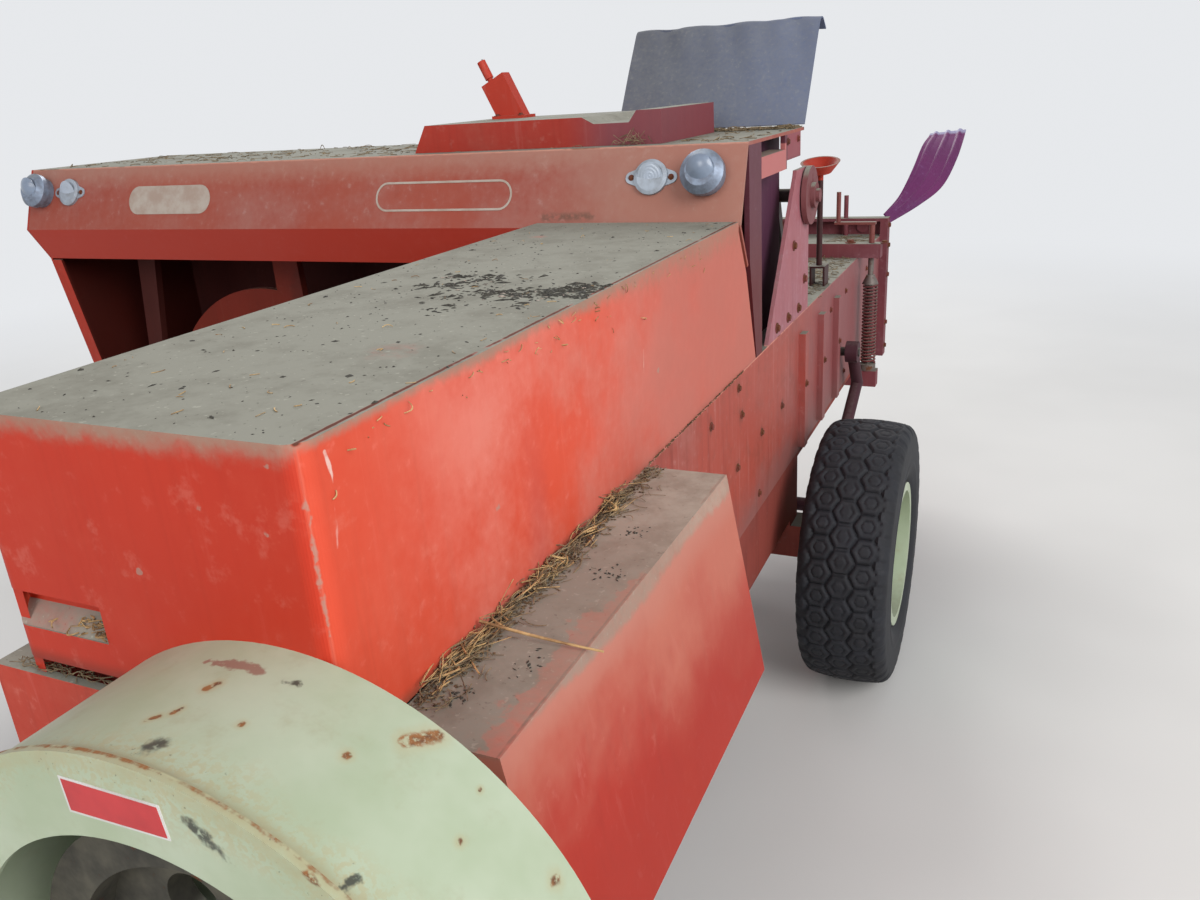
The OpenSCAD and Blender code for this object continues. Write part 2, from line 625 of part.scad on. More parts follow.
// Density control at the chamber's rear
dens_y = ch_y1 - 550;
dens_x = 45;
spring_z1 = ch_z1 - 96;
module density_beams() color(paint) {
    for (z = [ch_z0 - 60, ch_z1])
        block([ch_x0 - dens_x - 35, dens_y - 25, z], [ch_x1 + dens_x + 35, dens_y + 25, z + (z < ch_z1 ? 60 : 50)]);
}
module density_screws() color("silver") for (side = [-1, 1]) {
    x = side > 0 ? ch_x1 + dens_x : ch_x0 - dens_x;
    zrod(10, ch_z0 + seat, ch_z1 - seat, x, dens_y);
    zrod(spring_r, ch_z0 + seat, ch_z0 + 24, x, dens_y);
    translate([x, dens_y, spring_z1]) cylinder(r1 = spring_r, r2 = 14, h = 32);
    // crank: the screw's end, a flat arm towards the middle and an upright grip
    zrod(10, ch_z1 + 50 + seat, ch_z1 + 118, x, dens_y);
    block([x - 60 - side * 60 - 13, dens_y - 11, ch_z1 + 116], [x + 60 - side * 60 + 13, dens_y + 11, ch_z1 + 125]);
    zrod(8, ch_z1 + 124, ch_z1 + 230, x - side * 120, dens_y);
}
// Coil spring: rings of points along the helix, joined into one closed tube
module coil(r, wire, turns, height, sides, steps) {
    n = turns * steps;
    pts = [for (i = [0 : n]) let (a = 360 * i / steps, z = height * i / n)
        for (k = [0 : sides - 1]) let (b = 360 * k / sides, q = r + wire * cos(b))
            [q * cos(a), q * sin(a), z + wire * sin(b)]];
    faces = concat(
        [[for (k = [0 : sides - 1]) k]],
        [[for (k = [0 : sides - 1]) n * sides + sides - 1 - k]],
        [for (i = [0 : n - 1]) for (k = [0 : sides - 1]) let (j = (k + 1) % sides)
            each [[i * sides + k, (i + 1) * sides + k, (i + 1) * sides + j],
                [i * sides + k, (i + 1) * sides + j, i * sides + j]]]);
    polyhedron(pts, faces);
}
// Half the height of the coil's six-sided wire
wire_rise = spring_wire * sin(60);
module density_springs() color("firebrick") for (side = [-1, 1])
    translate([side > 0 ? ch_x1 + dens_x : ch_x0 - dens_x, dens_y, ch_z0 + 24 + seat + wire_rise])
        coil(spring_r - spring_wire, spring_wire, spring_turns,
            spring_z1 - ch_z0 - 24 - 2 * (seat + wire_rise), 6, 10);

// Rear posts, panel and lever
post_w = 30;
post_d = 60;
post_z1 = ch_z1 + 70;
module rear_posts() color(paint) {
    for (x = [ch_x0 - post_w, ch_x1]) block([x, ch_y1 - post_d, ch_z0 - 80], [x + post_w, ch_y1, post_z1]);
    block([ch_x0, ch_y1 - post_d, ch_z0 - 80], [ch_x1, ch_y1, ch_z0]);
}
module rear_panel() color(paint) {
    block([ch_x0, ch_y1 - 12, ch_z1], [ch_x1, ch_y1, post_z1]);
    block([ch_x0, ch_y1 - post_d, post_z1 - 12], [ch_x1, ch_y1 - 12, post_z1]);
    yrod(24, ch_y1 - 20, ch_y1 - 12, ch_x1 - 75, ch_z1 + 32);
    // trip lever
    zrod(10, ch_z1, post_z1 - 12, ch_x1 - 140, ch_y1 - 40);
    zrod(9, post_z1 - 12, post_z1 + 90, ch_x1 - 140, ch_y1 - 40);
}

// Ribbed guide sheet that rises and twists away from the chamber's left rear corner
guide_rows = [ // [inner x, inner z, outer x, outer z, y], from the chamber's upper left rear corner
    [2, 78, 28, 42, 0], [43, 131, 127, 97, 125], [77, 226, 202, 157, 250],
    [94, 308, 240, 252, 410], [106, 340, 256, 352, 600]];
guide_n = 12;
guide_t = 6;
function guide_top(row, k) = let (f = k / guide_n, w = guide_rows[row])
    [ch_x1 + w[0] + f * (w[2] - w[0]), ch_y1 + w[4], ch_z1 + w[1] + f * (w[3] - w[1]) + (k % 4 == 2 ? 8 : 0)];
module bale_guide() color("brown") {
    m = guide_n + 1;
    rows = len(guide_rows);
    top = [for (i = [0 : rows - 1]) for (k = [0 : guide_n]) guide_top(i, k)];
    low = [for (p = top) p - [0, 0, guide_t]];
    off = rows * m;
    polyhedron(concat(top, low), concat(
        [for (i = [0 : rows - 2]) for (k = [0 : guide_n - 1])
            each [[i * m + k, i * m + m + k, i * m + m + k + 1], [i * m + k, i * m + m + k + 1, i * m + k + 1]]],
        [for (i = [0 : rows - 2]) for (k = [0 : guide_n - 1])
            each [[off + i * m + k, off + i * m + m + k + 1, off + i * m + m + k],
                [off + i * m + k, off + i * m + k + 1, off + i * m + m + k + 1]]],
        [for (k = [0 : guide_n - 1]) each [[k, k + 1, off + k + 1], [k, off + k + 1, off + k]]],
        [for (k = [0 : guide_n - 1]) let (a = (rows - 1) * m + k)
            each [[a, off + a + 1, a + 1], [a, off + a, off + a + 1]]],
        [for (i = [0 : rows - 2]) each [[i * m, off + i * m, off + i * m + m], [i * m, off + i * m + m, i * m + m]]],
        [for (i = [0 : rows - 2]) let (a = i * m + guide_n)
            each [[a, off + a + m, off + a], [a, a + m, off + a + m]]]));
}

// Star wheel that measures the bale's length, on a stand over the chamber
module metering_wheel() color("silver") translate([ch_xm, meter_y, ch_z1 + 70]) rotate([0, 90, 0]) {
    difference() {
        union() {
            // star: each tooth has two points at its root and two at its tip
            translate([0, 0, -5]) linear_extrude(10) polygon([for (a = [0 : 36 : 324])
                for (p = [[72, -13], [100, -2], [100, 2], [72, 13]]) p[0] * [cos(a + p[1]), sin(a + p[1])]]);
            translate([0, 0, -12]) cylinder(r = 20, h = 24);
        }
        translate([0, 0, -20]) cylinder(r = 8 + run, h = 40);
    }
}
module metering_stand() color(paint) {
    xrod(8, ch_xm - 34, ch_xm + 34, meter_y, ch_z1 + 70);
    for (x = [ch_xm - 34, ch_xm + 26]) plate_x(x, x + 8)
        polygon([[meter_y - 50, ch_z1], [meter_y + 50, ch_z1], [meter_y + 20, ch_z1 + 90],
            [meter_y - 20, ch_z1 + 90]]);
}

// Small red dish on its stem, which stands in a folded foot
module twine_dish() color("red") translate([ch_x1 - 37, yoke_y - 160, ch_z1]) {
    plate_y(-30, 30) polygon([[-24, 0], [-24, 62], [24, 62], [24, 0], [18, 0], [18, 56], [-18, 56], [-18, 0]]);
    translate([0, 0, 60]) cylinder(r = 9, h = 290);
    translate([0, 0, 346]) rotate([12, 0, 0]) difference() {
        cylinder(r1 = 34, r2 = 60, h = 32);
        translate([0, 0, 8]) cylinder(r1 = 30, r2 = 58, h = 30);
    }
}

// Pickup: frame, stripper bands and tined reel on one lifting body
pickup_y = -60;
pickup_z = 420;
pickup_py = 243;
pickup_pz = 560;
pickup_x0 = shelf_x + 16;
pickup_x1 = ch_x0 - 50;
pivot_x = [pickup_x0 + 18, pickup_x1 - 30];
tie = [190, 622];
gauge_at = [-40, 270];
module pickup_frame() color(paint) {
    for (x = [pickup_x0, pickup_x1 - 8]) plate_x(x, x + 8) difference() {
        union() {
            translate([pickup_y, pickup_z]) circle(r = band_r, $fn = 96);
            polygon([[pickup_y, pickup_z + band_r - 1], tie + [0, 3], tie + [0, -20], [255, 585], [262, 545], [100, 400]]);
        }
        translate([pickup_y, pickup_z]) circle(r = 26 + run);
    }
    block([pickup_x0 + 8, tie[0] - 8, tie[1] - 20], [pickup_x1 - 8, tie[0], tie[1] - 0.8]);
    xrod(12, pickup_x0 - 92, pickup_x0, gauge_at[0], gauge_at[1]);
    for (x = [pickup_x0 + 8, pickup_x1 - 36]) xrod(12, x, x + 28, pickup_py, pickup_pz);
}
band_gap = (pickup_x1 - pickup_x0 - 30) / band_n;
function band_x(i) = pickup_x0 + 15 + band_gap * (i + 0.5);
module pickup_bands() color("silver") for (i = [0 : band_n - 1])
    plate_x(band_x(i) - 18, band_x(i) + 18) {
        translate([pickup_y, pickup_z]) intersection() {
            difference() {
                circle(r = band_r, $fn = 96);
                circle(r = band_r - 3, $fn = 96);
            }
            polygon([[0, 0], [-12, 300], [-400, 300], [-400, -200]]);
        }
        polygon([[pickup_y - 14, pickup_z + band_r - 3.4], [pickup_y - 14, pickup_z + band_r - 0.5], tie + [0, 3], tie]);
    }
module pickup_reel() color(dark) {
    xrod(26, pickup_x0, pickup_x1, pickup_y, pickup_z);
    for (a = [0 : 90 : 270]) translate([0, pickup_y, pickup_z]) rotate([a, 0, 0]) {
        xrod(14, pickup_x0 + 30, pickup_x1 - 30, 0, 110);
        for (i = [0 : band_n - 2]) translate([band_x(i) + band_gap / 2, 0, 110])
            rotate([12, 0, 0]) cylinder(r = tine_wire, h = tine_r - 112, $fn = 16);
    }
    for (x = [pickup_x0 + 22, (pickup_x0 + pickup_x1) / 2 - 4, pickup_x1 - 30]) translate([x, pickup_y, pickup_z])
        rotate([0, 90, 0]) cylinder(r = 130, h = 8);
}
// Wind guard over the pickup: a tube on two flat arms, with rods that hold the hay down
guard_y = -120;
guard_z = 770;
module wind_guard() color(paint) {
    for (x = [pickup_x0 + 8 + seat, pickup_x1 - 16 - seat]) plate_x(x, x + 8)
        polygon([[pickup_y - 25, 572], [pickup_y + 25, 572], [guard_y + 16, guard_z], [guard_y - 16, guard_z]]);
    xrod(18, pickup_x0, pickup_x1, guard_y, guard_z);
    for (i = [1 : 2 : band_n - 2]) {
        x = band_x(i) + band_gap / 2;
        strut([x, guard_y, guard_z], [x, guard_y + 265, guard_z - 70], 5);
    }
}
module gauge_wheel() color(dark) translate([pickup_x0 - 60, gauge_at[0], gauge_at[1]]) rotate([0, 90, 0])
    rotate_extrude($fn = 64) polygon([[12 + run, -36], [34, -36], [34, -8], [92, -8], [98, -28], [138, -30],
        [150, -18], [150, 18], [138, 30], [98, 28], [92, 8], [34, 8], [34, 36], [12 + run, 36]]);

// Twine box behind the feeder housing, with the pin on which its lid turns
twine_w = 600;
twine_d = 360;
twine_h = 400;
twine_x0 = ch_x0 - 740;
twine_z1 = ch_z1 + 40;
lid_y = house_y1 + 20;
lid_z = twine_z1 + 12;
module twine_box() color(paint) {
    difference() {
        block([twine_x0, house_y1, twine_z1 - twine_h], [twine_x0 + twine_w, house_y1 + twine_d, twine_z1]);
        block([twine_x0 + sheet, house_y1 + sheet, twine_z1 - twine_h + sheet],
            [twine_x0 + twine_w - sheet, house_y1 + twine_d - sheet, twine_z1 + 1]);
    }
    for (x = [twine_x0, twine_x0 + twine_w - sheet])
        block([x, lid_y - 10, twine_z1 - 20], [x + sheet, lid_y + 10, lid_z + 10]);
    xrod(5, twine_x0, twine_x0 + twine_w, lid_y, lid_z);
}
module twine_lid() color(paint) {
    block([twine_x0 + sheet + 2, lid_y - 6, twine_z1 + seat],
        [twine_x0 + twine_w - sheet - 2, lid_y + 14, twine_z1 + seat + 6]);
    block([twine_x0 - 6, lid_y + 14, twine_z1 + seat],
        [twine_x0 + twine_w + 6, house_y1 + twine_d + 6, twine_z1 + seat + 6]);
    for (x = [twine_x0 + 60, twine_x0 + twine_w - 160]) difference() {
        xrod(9, x, x + 100, lid_y, lid_z);
        xrod(5 + run, x - 1, x + 101, lid_y, lid_z);
    }
}

// Drawbar and its bracket
bar_x = ch_xm;
bar_py = hood_y0 + 62;
bar_z0 = rail_z0 - 158;
module drawbar_bracket() color(paint) {
    block([bar_x - 70, bar_py - 50, bar_z0 - 12], [bar_x + 70, cross_y0 + cross_side + 12, bar_z0]);
    block([bar_x - 70, cross_y0 + cross_side, bar_z0], [bar_x + 70, cross_y0 + cross_side + 12, cross_z0 + 90]);
    zrod(25, bar_z0, cross_z0, bar_x, bar_py);
}
module drawbar() color(paint) difference() {
    union() {
        zrod(42, bar_z0 + seat, cross_z0 - seat, bar_x, bar_py);
        block([bar_x - bar_side / 2, -eye_y + 90, bar_z0 + 4],
            [bar_x + bar_side / 2, bar_py, bar_z0 + 4 + bar_side]);
        zrod(50, bar_z0 + 39, bar_z0 + 69, bar_x, -eye_y);
        block([bar_x - 32, -eye_y + 20, bar_z0 + 39], [bar_x + 32, -eye_y + 100, bar_z0 + 69]);
    }
    zrod(25 + run, bar_z0 - 1, cross_z0 + 1, bar_x, bar_py);
    zrod(eye_r, bar_z0 + 30, bar_z0 + 80, bar_x, -eye_y);
}

// Parking jack on the front cross tube
jack_x = ch_x0 - 22;
jack_y = hood_y0 - 55;
module jack_sleeve() color(dark) {
    difference() {
        zrod(36, 300, 800, jack_x, jack_y);
        zrod(30, 299, 780, jack_x, jack_y);
    }
    block([jack_x - 30, jack_y + 34, panel_z0 - 60], [ch_x0 + 45, cross_y0, panel_z0 - 8]);
    zrod(8, 800, 850, jack_x, jack_y);
    xrod(8, jack_x - 90, jack_x, jack_y, 850);
}
module jack_leg() color("silver") {
    zrod(30 - run, 10, 470, jack_x, jack_y);
    zrod(90, 0, 12, jack_x, jack_y);
}

left_tyre();
left_rim();
right_tyre();
right_rim();
axle();
frame_rails();
frame_cross();
platform_legs();
chamber_floor();
chamber_left();
chamber_right_front();
chamber_right_rear();
chamber_roof();
front_panel();
front_hood();
gearbox();
side_guard();
flywheel_guard();
flywheel();
housing_top();
housing_back();
housing_end();
feed_floor();
drive_cover();
hand_lever();
packer_rail();
packer_forks();
lamps();
reflectors();
housing_post();
housing_screen();
knotter_stand();
knotters();
knotter_hood();
knotter_hinge();
yoke_pivots();
needle_yoke();
density_beams();
density_screws();
density_springs();
rear_posts();
rear_panel();
bale_guide();
metering_wheel();
metering_stand();
twine_dish();
pickup_frame();
pickup_bands();
pickup_reel();
wind_guard();
gauge_wheel();
twine_box();
twine_lid();
drawbar_bracket();
drawbar();
jack_sleeve();
jack_leg();
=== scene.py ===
# %% [markdown]
# # A towed square baler
# The machine picks up a swath of hay with a tined reel, pushes it sideways with forks into a long
# chamber and presses it into square bales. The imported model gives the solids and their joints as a
# fixed frame. This notebook gives those solids their old paint, and adds what is too fine for the
# solids: tread, bolts, rolled edges, straw, lenses and worn sheet metal.

# %% Load the frame
import math
from functools import reduce
from operator import and_, or_

import bmesh
import bpy
import numpy as np
from mathutils import Matrix, Vector


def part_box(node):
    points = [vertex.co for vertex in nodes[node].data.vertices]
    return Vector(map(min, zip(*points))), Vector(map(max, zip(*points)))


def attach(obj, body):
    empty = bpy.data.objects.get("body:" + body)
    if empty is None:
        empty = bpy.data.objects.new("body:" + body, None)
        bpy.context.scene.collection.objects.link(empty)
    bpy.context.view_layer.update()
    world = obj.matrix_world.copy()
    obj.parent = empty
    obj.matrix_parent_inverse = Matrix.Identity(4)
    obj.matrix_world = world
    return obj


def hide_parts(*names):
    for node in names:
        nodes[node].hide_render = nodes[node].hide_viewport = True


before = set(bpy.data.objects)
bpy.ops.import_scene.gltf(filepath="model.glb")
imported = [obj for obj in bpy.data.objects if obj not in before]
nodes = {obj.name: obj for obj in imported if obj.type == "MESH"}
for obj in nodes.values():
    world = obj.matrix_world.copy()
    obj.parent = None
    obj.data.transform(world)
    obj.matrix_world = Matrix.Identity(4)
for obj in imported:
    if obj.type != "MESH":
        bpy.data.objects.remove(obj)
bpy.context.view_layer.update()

# Places that several cells need, in metres: faces of the hood, guard, housing and chamber, then axes
left_face, hood_front, hood_top, guard_top, chamber_top, housing_top = 0.98, -1.365, 1.4, 1.058, 1.06, 1.56
axle_y, axle_z = 0.62, 0.38
wheels = ((1, "left"), (-1, "right"))
guard_x, guard_z = 0.904, 0.803
reel_y, reel_z = -0.06, 0.42

# %% [markdown]
# ## Camera
# The photograph was taken from head height, close to the front left corner, looking along the
# machine. The camera's place and its three directions were solved from lines that are parallel on
# the real machine. A camera object needs a matrix whose columns are right, up and backwards.

# %% Camera
right, down, forward = np.array([
    [0.9136, 0.4019, -0.0617],
    [0.0876, -0.3427, -0.9354],
    [-0.3971, 0.8491, -0.3482]])


def link(name, data):
    """Makes an object of some data and puts it into the scene."""
    obj = bpy.data.objects.new(name, data)
    bpy.context.scene.collection.objects.link(obj)
    return obj


camera_place, lens_mm, sensor_mm = (1.58, -2.0, 1.686), 29.06, 36
camera = link("camera", bpy.data.cameras.new("camera"))
turn = Matrix(np.column_stack([right, -down, -forward]).tolist())
camera.matrix_world = Matrix.Translation(camera_place) @ turn.to_4x4()
camera.data.sensor_width = sensor_mm
camera.data.lens = lens_mm
camera.data.clip_end = 200
bpy.context.scene.camera = camera
print("lens", camera.data.lens)

# %% [markdown]
# ## Colour and light
# Even light shows paint as it is. A large soft lamp on the machine's left lights the long side, a
# weaker one stands in front, and one behind lifts the dusty tops. Colours are written as a screen
# shows them and turned into linear ones.

# %% Colours and lamps
def srgb(r, g, b):
    """Linear colour from the 0 to 255 numbers of a screen colour: ((c + 0.055) / 1.055) ^ 2.4."""
    c = np.array([r, g, b]) / 255
    return tuple(np.where(c <= 0.04045, c / 12.92, ((c + 0.055) / 1.055) ** 2.4)) + (1.0,)


def lamp(name, place, target, size, power):
    """An area lamp that looks from its place to a target."""
    data = bpy.data.lights.new(name, "AREA")
    data.shape, data.size, data.energy = "DISK", size, power
    obj = link(name, data)
    obj.location = place
    obj.rotation_euler = (Vector(target) - Vector(place)).to_track_quat("-Z", "Y").to_euler()


lamp("lamp_left", (6.5, -3.2, 4.6), (0.4, 0, 0.9), 5.0, 440)
lamp("lamp_front", (0.5, -8.0, 4.5), (0, 0, 0.8), 5.0, 250)
lamp("lamp_back", (-3.0, 7.0, 6.0), (0, 0.5, 0.8), 5.0, 520)
bpy.context.scene.view_settings.view_transform = "Standard"

# %% [markdown]
# ## A small language for materials
# Shader maths is easier to read as arithmetic. `Wire` wraps one socket, and its operators add Math
# nodes. `Graph` holds a node tree, and its method `node` adds any other node with its settings and
# inputs. `Bench` is the tree of one material. Colours are mixed with Mix, vectors with Vector Math.

# %% Wire, Graph and Bench
class Wire:
    """A value that runs through a node tree: adding, scaling or comparing it adds a Math node."""

    def __init__(self, graph, socket):
        self.graph, self.socket = graph, socket

    def _math(self, operation, *values, clamp=False):
        return self.graph.node("ShaderNodeMath", {"operation": operation, "use_clamp": clamp}, list(values))

    def __add__(self, other): return self._math("ADD", self, other)
    def __sub__(self, other): return self._math("SUBTRACT", self, other)
    def __rsub__(self, other): return self._math("SUBTRACT", other, self)
    def __mul__(self, other): return self._math("MULTIPLY", self, other)
    def __truediv__(self, other): return self._math("DIVIDE", self, other)
    def __pow__(self, other): return self._math("POWER", self, other)
    def __or__(self, other): return self._math("MAXIMUM", self, other)
    def __and__(self, other): return self._math("MINIMUM", self, other)
    def __abs__(self): return self._math("ABSOLUTE", self)
    __radd__, __rmul__ = __add__, __mul__

    def step(self, low, high):
        """0 below low, 1 above high and a smooth slope between them; low may be the larger one."""
        settings = {"interpolation_type": "SMOOTHSTEP"}
        if low > high:
            return self.graph.node("ShaderNodeMapRange", settings, [self, high, low, 1.0, 0.0])
        return self.graph.node("ShaderNodeMapRange", settings, [self, low, high, 0.0, 1.0])


class Graph:
    """The node tree of a material or world; node() adds a node and returns its output as a Wire."""

    def __init__(self, owner):
        owner.use_nodes = True
        self.tree = owner.node_tree

    def node(self, kind, settings, inputs, out=0):
        made = self.tree.nodes.new(kind)
        for key, value in settings.items():
            setattr(made, key, value)
        self.feed(made, inputs if isinstance(inputs, dict) else dict(enumerate(inputs)))
        return Wire(self, made.outputs[out])

    def feed(self, made, inputs):
        """Links a node's inputs that vary, and sets the others."""
        for key, value in inputs.items():
            if isinstance(value, Wire):
                self.tree.links.new(value.socket, made.inputs[key])
            elif value is not None:
                made.inputs[key].default_value = value

    def surface(self, wire, output):
        """Makes a shader the one that shows."""
        self.feed(self.tree.nodes[output], {"Surface": wire})


class Bench(Graph):
    """One material with its Principled shader, and the places and masks that finishes need."""

    def __init__(self, name):
        self.material = bpy.data.materials.new(name)
        super().__init__(self.material)
        self.shader = self.tree.nodes["Principled BSDF"]
        self.shared = {}
        self.place = self.node("ShaderNodeTexCoord", {}, [], "Object")
        self.facing = self.node("ShaderNodeNewGeometry", {}, [], "Normal")
        self.x, self.y, self.z = (self.axis(self.place, i) for i in range(3))
        self.up = self.axis(self.facing, 2)

    def axis(self, vector, index):
        return self.node("ShaderNodeSeparateXYZ", {}, [vector], index)

    def vector(self, operation, inputs, out="Value"):
        return self.node("ShaderNodeVectorMath", {"operation": operation}, inputs, out)

    def mix(self, amount, a, b):
        return self.node("ShaderNodeMix", {"data_type": "RGBA"}, {0: amount, 6: a, 7: b}, 2)

    def coats(self, colour, *rows):
        """Lays tints over a colour one after another; a row is where it lies, then red, green and blue."""
        for where, *tint in rows:
            colour = self.mix(where, colour, srgb(*tint))
        return colour

    def noise(self, scale, detail=3.0, rough=0.6, stretch=None):
        """Soft clouds from 0 to 1; scale counts clouds in a metre. The same clouds are made once."""
        key = (scale, detail, rough, stretch)
        if key not in self.shared:
            place = self.place
            if stretch:
                place = self.node("ShaderNodeMapping", {}, {"Vector": place, "Scale": stretch})
            self.shared[key] = self.node("ShaderNodeTexNoise", {}, {
                "Vector": place, "Scale": scale, "Detail": detail, "Roughness": rough})
        return self.shared[key]

    @property
    def middle(self):
        """Clouds the size of a hand."""
        return self.noise(6.3, 4, 0.65)

    @property
    def fine(self):
        """Clouds the size of a finger."""
        return self.noise(48, 3)

    def rough(self, height):
        """Fine roughness of an edge, plus or minus half the height."""
        return (self.fine - 0.5) * height

    def wavy(self, height):
        """The same with clouds the size of a hand."""
        return (self.middle - 0.5) * height

    def near(self, point):
        """Distance in metres from a point of the machine."""
        return self.vector("DISTANCE", [self.place, point])

    def segment(self, p, q):
        """Distance from the stretch between two points: the nearest point is p + t * (q - p), t from 0 to 1."""
        p, way = np.array(p), np.array(q) - np.array(p)
        off = self.vector("SUBTRACT", [self.place, tuple(p)], "Vector")
        t = self.vector("DOT_PRODUCT", [off, tuple(way / (way @ way))])
        t = t._math("MULTIPLY", t, 1.0, clamp=True)
        return self.vector("DISTANCE", [off, self.vector("SCALE", {0: tuple(way), "Scale": t}, "Vector")])

    def line(self, along, p, q):
        """Distance from a line along one axis: sqrt((a - p)^2 + (b - q)^2) of the other two."""
        a, b = {"x": (self.y, self.z), "y": (self.x, self.z), "z": (self.x, self.y)}[along]
        return ((a - p) * (a - p) + (b - q) * (b - q)) ** 0.5

    def lines(self, rows):
        """Distance from the nearest of several such lines."""
        return reduce(and_, (self.line(*row) for row in rows))

    def finish(self, colour, rough, bump=None, strength=0.3, distance=0.002, metal=None, fixed=None):
        """Gives the shader its colour, roughness, relief and fixed values, and returns the material."""
        relief = None
        if bump is not None:
            relief = self.node("ShaderNodeBump", {}, {"Strength": strength, "Distance": distance, "Height": bump})
        self.feed(self.shader, {"Base Color": colour, "Roughness": rough, "Metallic": metal, "Normal": relief,
                                **(fixed or {})})
        return self.material


# %% [markdown]
# ## Shapes as arrays
# Every added surface is a grid of points that is worked out at once with numpy. A grid of points
# needs a list of its faces, a profile can run round an axis or along a path, and one small shape
# can be copied to many places by multiplying arrays.

# %% Grids, revolved profiles, tubes and copies
def circle(n):
    """n angles evenly round a circle."""
    return np.linspace(0, 2 * np.pi, n, endpoint=False)


def unit(vectors):
    """Vectors made one long: v / |v|."""
    vectors = np.asarray(vectors, float)
    return vectors / np.linalg.norm(vectors, axis=-1, keepdims=True)


def grid_faces(rows, columns, round_rows=False, round_columns=False):
    """Quads between neighbours: point (i, j) is number i * columns + j, and a round direction closes."""
    i = np.arange(rows if round_rows else rows - 1)[:, None]
    j = np.arange(columns if round_columns else columns - 1)[None, :]
    i2, j2 = (i + 1) % rows, (j + 1) % columns
    return np.stack([i * columns + j, i2 * columns + j, i2 * columns + j2, i * columns + j2], -1).reshape(-1, 4)


def add(name, points, faces, body, material, smooth=30, slot=None):
    """Puts arrays of points and faces into a mesh that rides on a body; smooth is an angle in degrees."""
    mesh = bpy.data.meshes.new(name)
    mesh.from_pydata(np.asarray(points, float).reshape(-1, 3).tolist(), [], [list(f) for f in faces])
    mesh.materials.append(material)
    mesh.validate()
    if smooth:
        mesh.shade_smooth()
        mesh.set_sharp_from_angle(angle=math.radians(smooth))
    obj = link(name, mesh)
    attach(obj, body)
    return obj


def outward(obj):
    """Merges doubles and turns all faces outwards."""
    work = bmesh.new()
    work.from_mesh(obj.data)
    bmesh.ops.remove_doubles(work, verts=work.verts, dist=1e-5)
    bmesh.ops.recalc_face_normals(work, faces=work.faces)
    work.to_mesh(obj.data)
    work.free()
    return obj


def revolve(profile, centre, axis, steps=64):
    """A profile of (along the axis, radius) turned round it: centre + a*t + r*(u*cos + v*sin)."""
    a = np.asarray(axis, float)
    u = np.array([0.0, 0, 1]) if abs(a[2]) < 0.9 else np.array([1.0, 0, 0])
    v = np.cross(a, u)
    angle = circle(steps)[:, None, None]
    t, r = np.asarray(profile, float).T[:, None, :, None]
    points = np.asarray(centre) + t * a + r * (np.cos(angle) * u + np.sin(angle) * v)
    return points.reshape(-1, 3), grid_faces(steps, len(profile), round_rows=True)


def tube(path, radius, sides=8):
    """A round tube along a path: each ring stands square to the path's local direction."""
    p = np.asarray(path, float)
    d = unit(np.gradient(p, axis=0))
    side = unit(np.cross(d, [0.31, 0.17, 0.93]))
    over = np.cross(d, side)
    b = circle(sides)[None, :, None]
    r = np.broadcast_to(np.asarray(radius, float), len(p))[:, None, None]
    ring = p[:, None] + r * (np.cos(b) * side[:, None] + np.sin(b) * over[:, None])
    n = len(p)
    ends = np.array([[0, k, k + 1, k + 1] for k in range(1, sides - 1)])
    caps = np.concatenate([ends[:, [0, 1, 2]], (n - 1) * sides + ends[:, [0, 2, 1]]])
    return ring.reshape(-1, 3), grid_faces(n, sides, round_columns=True), caps


def join(parts):
    """Several (points, faces, more faces...) as one list of points and one list of faces."""
    points, faces, start = [], [], 0
    for part in parts:
        points.append(np.asarray(part[0]).reshape(-1, 3))
        for quads in part[1:]:
            faces.extend((np.asarray(quads) + start).tolist())
        start += len(points[-1])
    return np.concatenate(points), faces


def copies(points, faces, places, turns=None, sizes=None):
    """One small shape at many places: place + size * (turn applied to the shape), as one array."""
    p, places = np.asarray(points, float), np.asarray(places, float)
    n = len(places)
    turns = np.broadcast_to(np.eye(3), (n, 3, 3)) if turns is None else turns
    sizes = np.ones((n, 1, 1)) if sizes is None else np.asarray(sizes, float).reshape(n, 1, -1)
    moved = np.einsum("nij,npj->npi", turns, sizes * p[None]) + places[:, None]
    f = np.asarray(faces)
    return moved.reshape(-1, 3), (f[None] + (np.arange(n) * len(p))[:, None, None]).reshape(-1, f.shape[1])


def frames(axes):
    """Turning matrices whose third column is the given direction."""
    w = unit(axes)
    helper = np.where(np.abs(w[:, 2:3]) < 0.9, [[0.0, 0, 1]], [[1.0, 0, 0]])
    u = unit(np.cross(helper, w))
    return np.stack([u, np.cross(w, u), w], -1)


chance = np.random.default_rng(7)

# %% [markdown]
# ## Old orange-red paint
# The machine has stood unused for years. The paint has gone from a deep red in the
# shade to a chalky salmon on top of the lips, and thick grey-brown dust lies on all that faces up.
# The dust thins out towards an edge instead of stopping at it, so the mask mixes the surface's
# direction with a noise. Runs of dirty water make streaks that are long in Z and narrow across.

# %% Paint
dust_colour, dust_dark, dust_pale = srgb(138, 136, 124), srgb(106, 102, 90), srgb(172, 170, 156)
rust_colour, rust_dark = srgb(120, 66, 34), srgb(70, 40, 26)


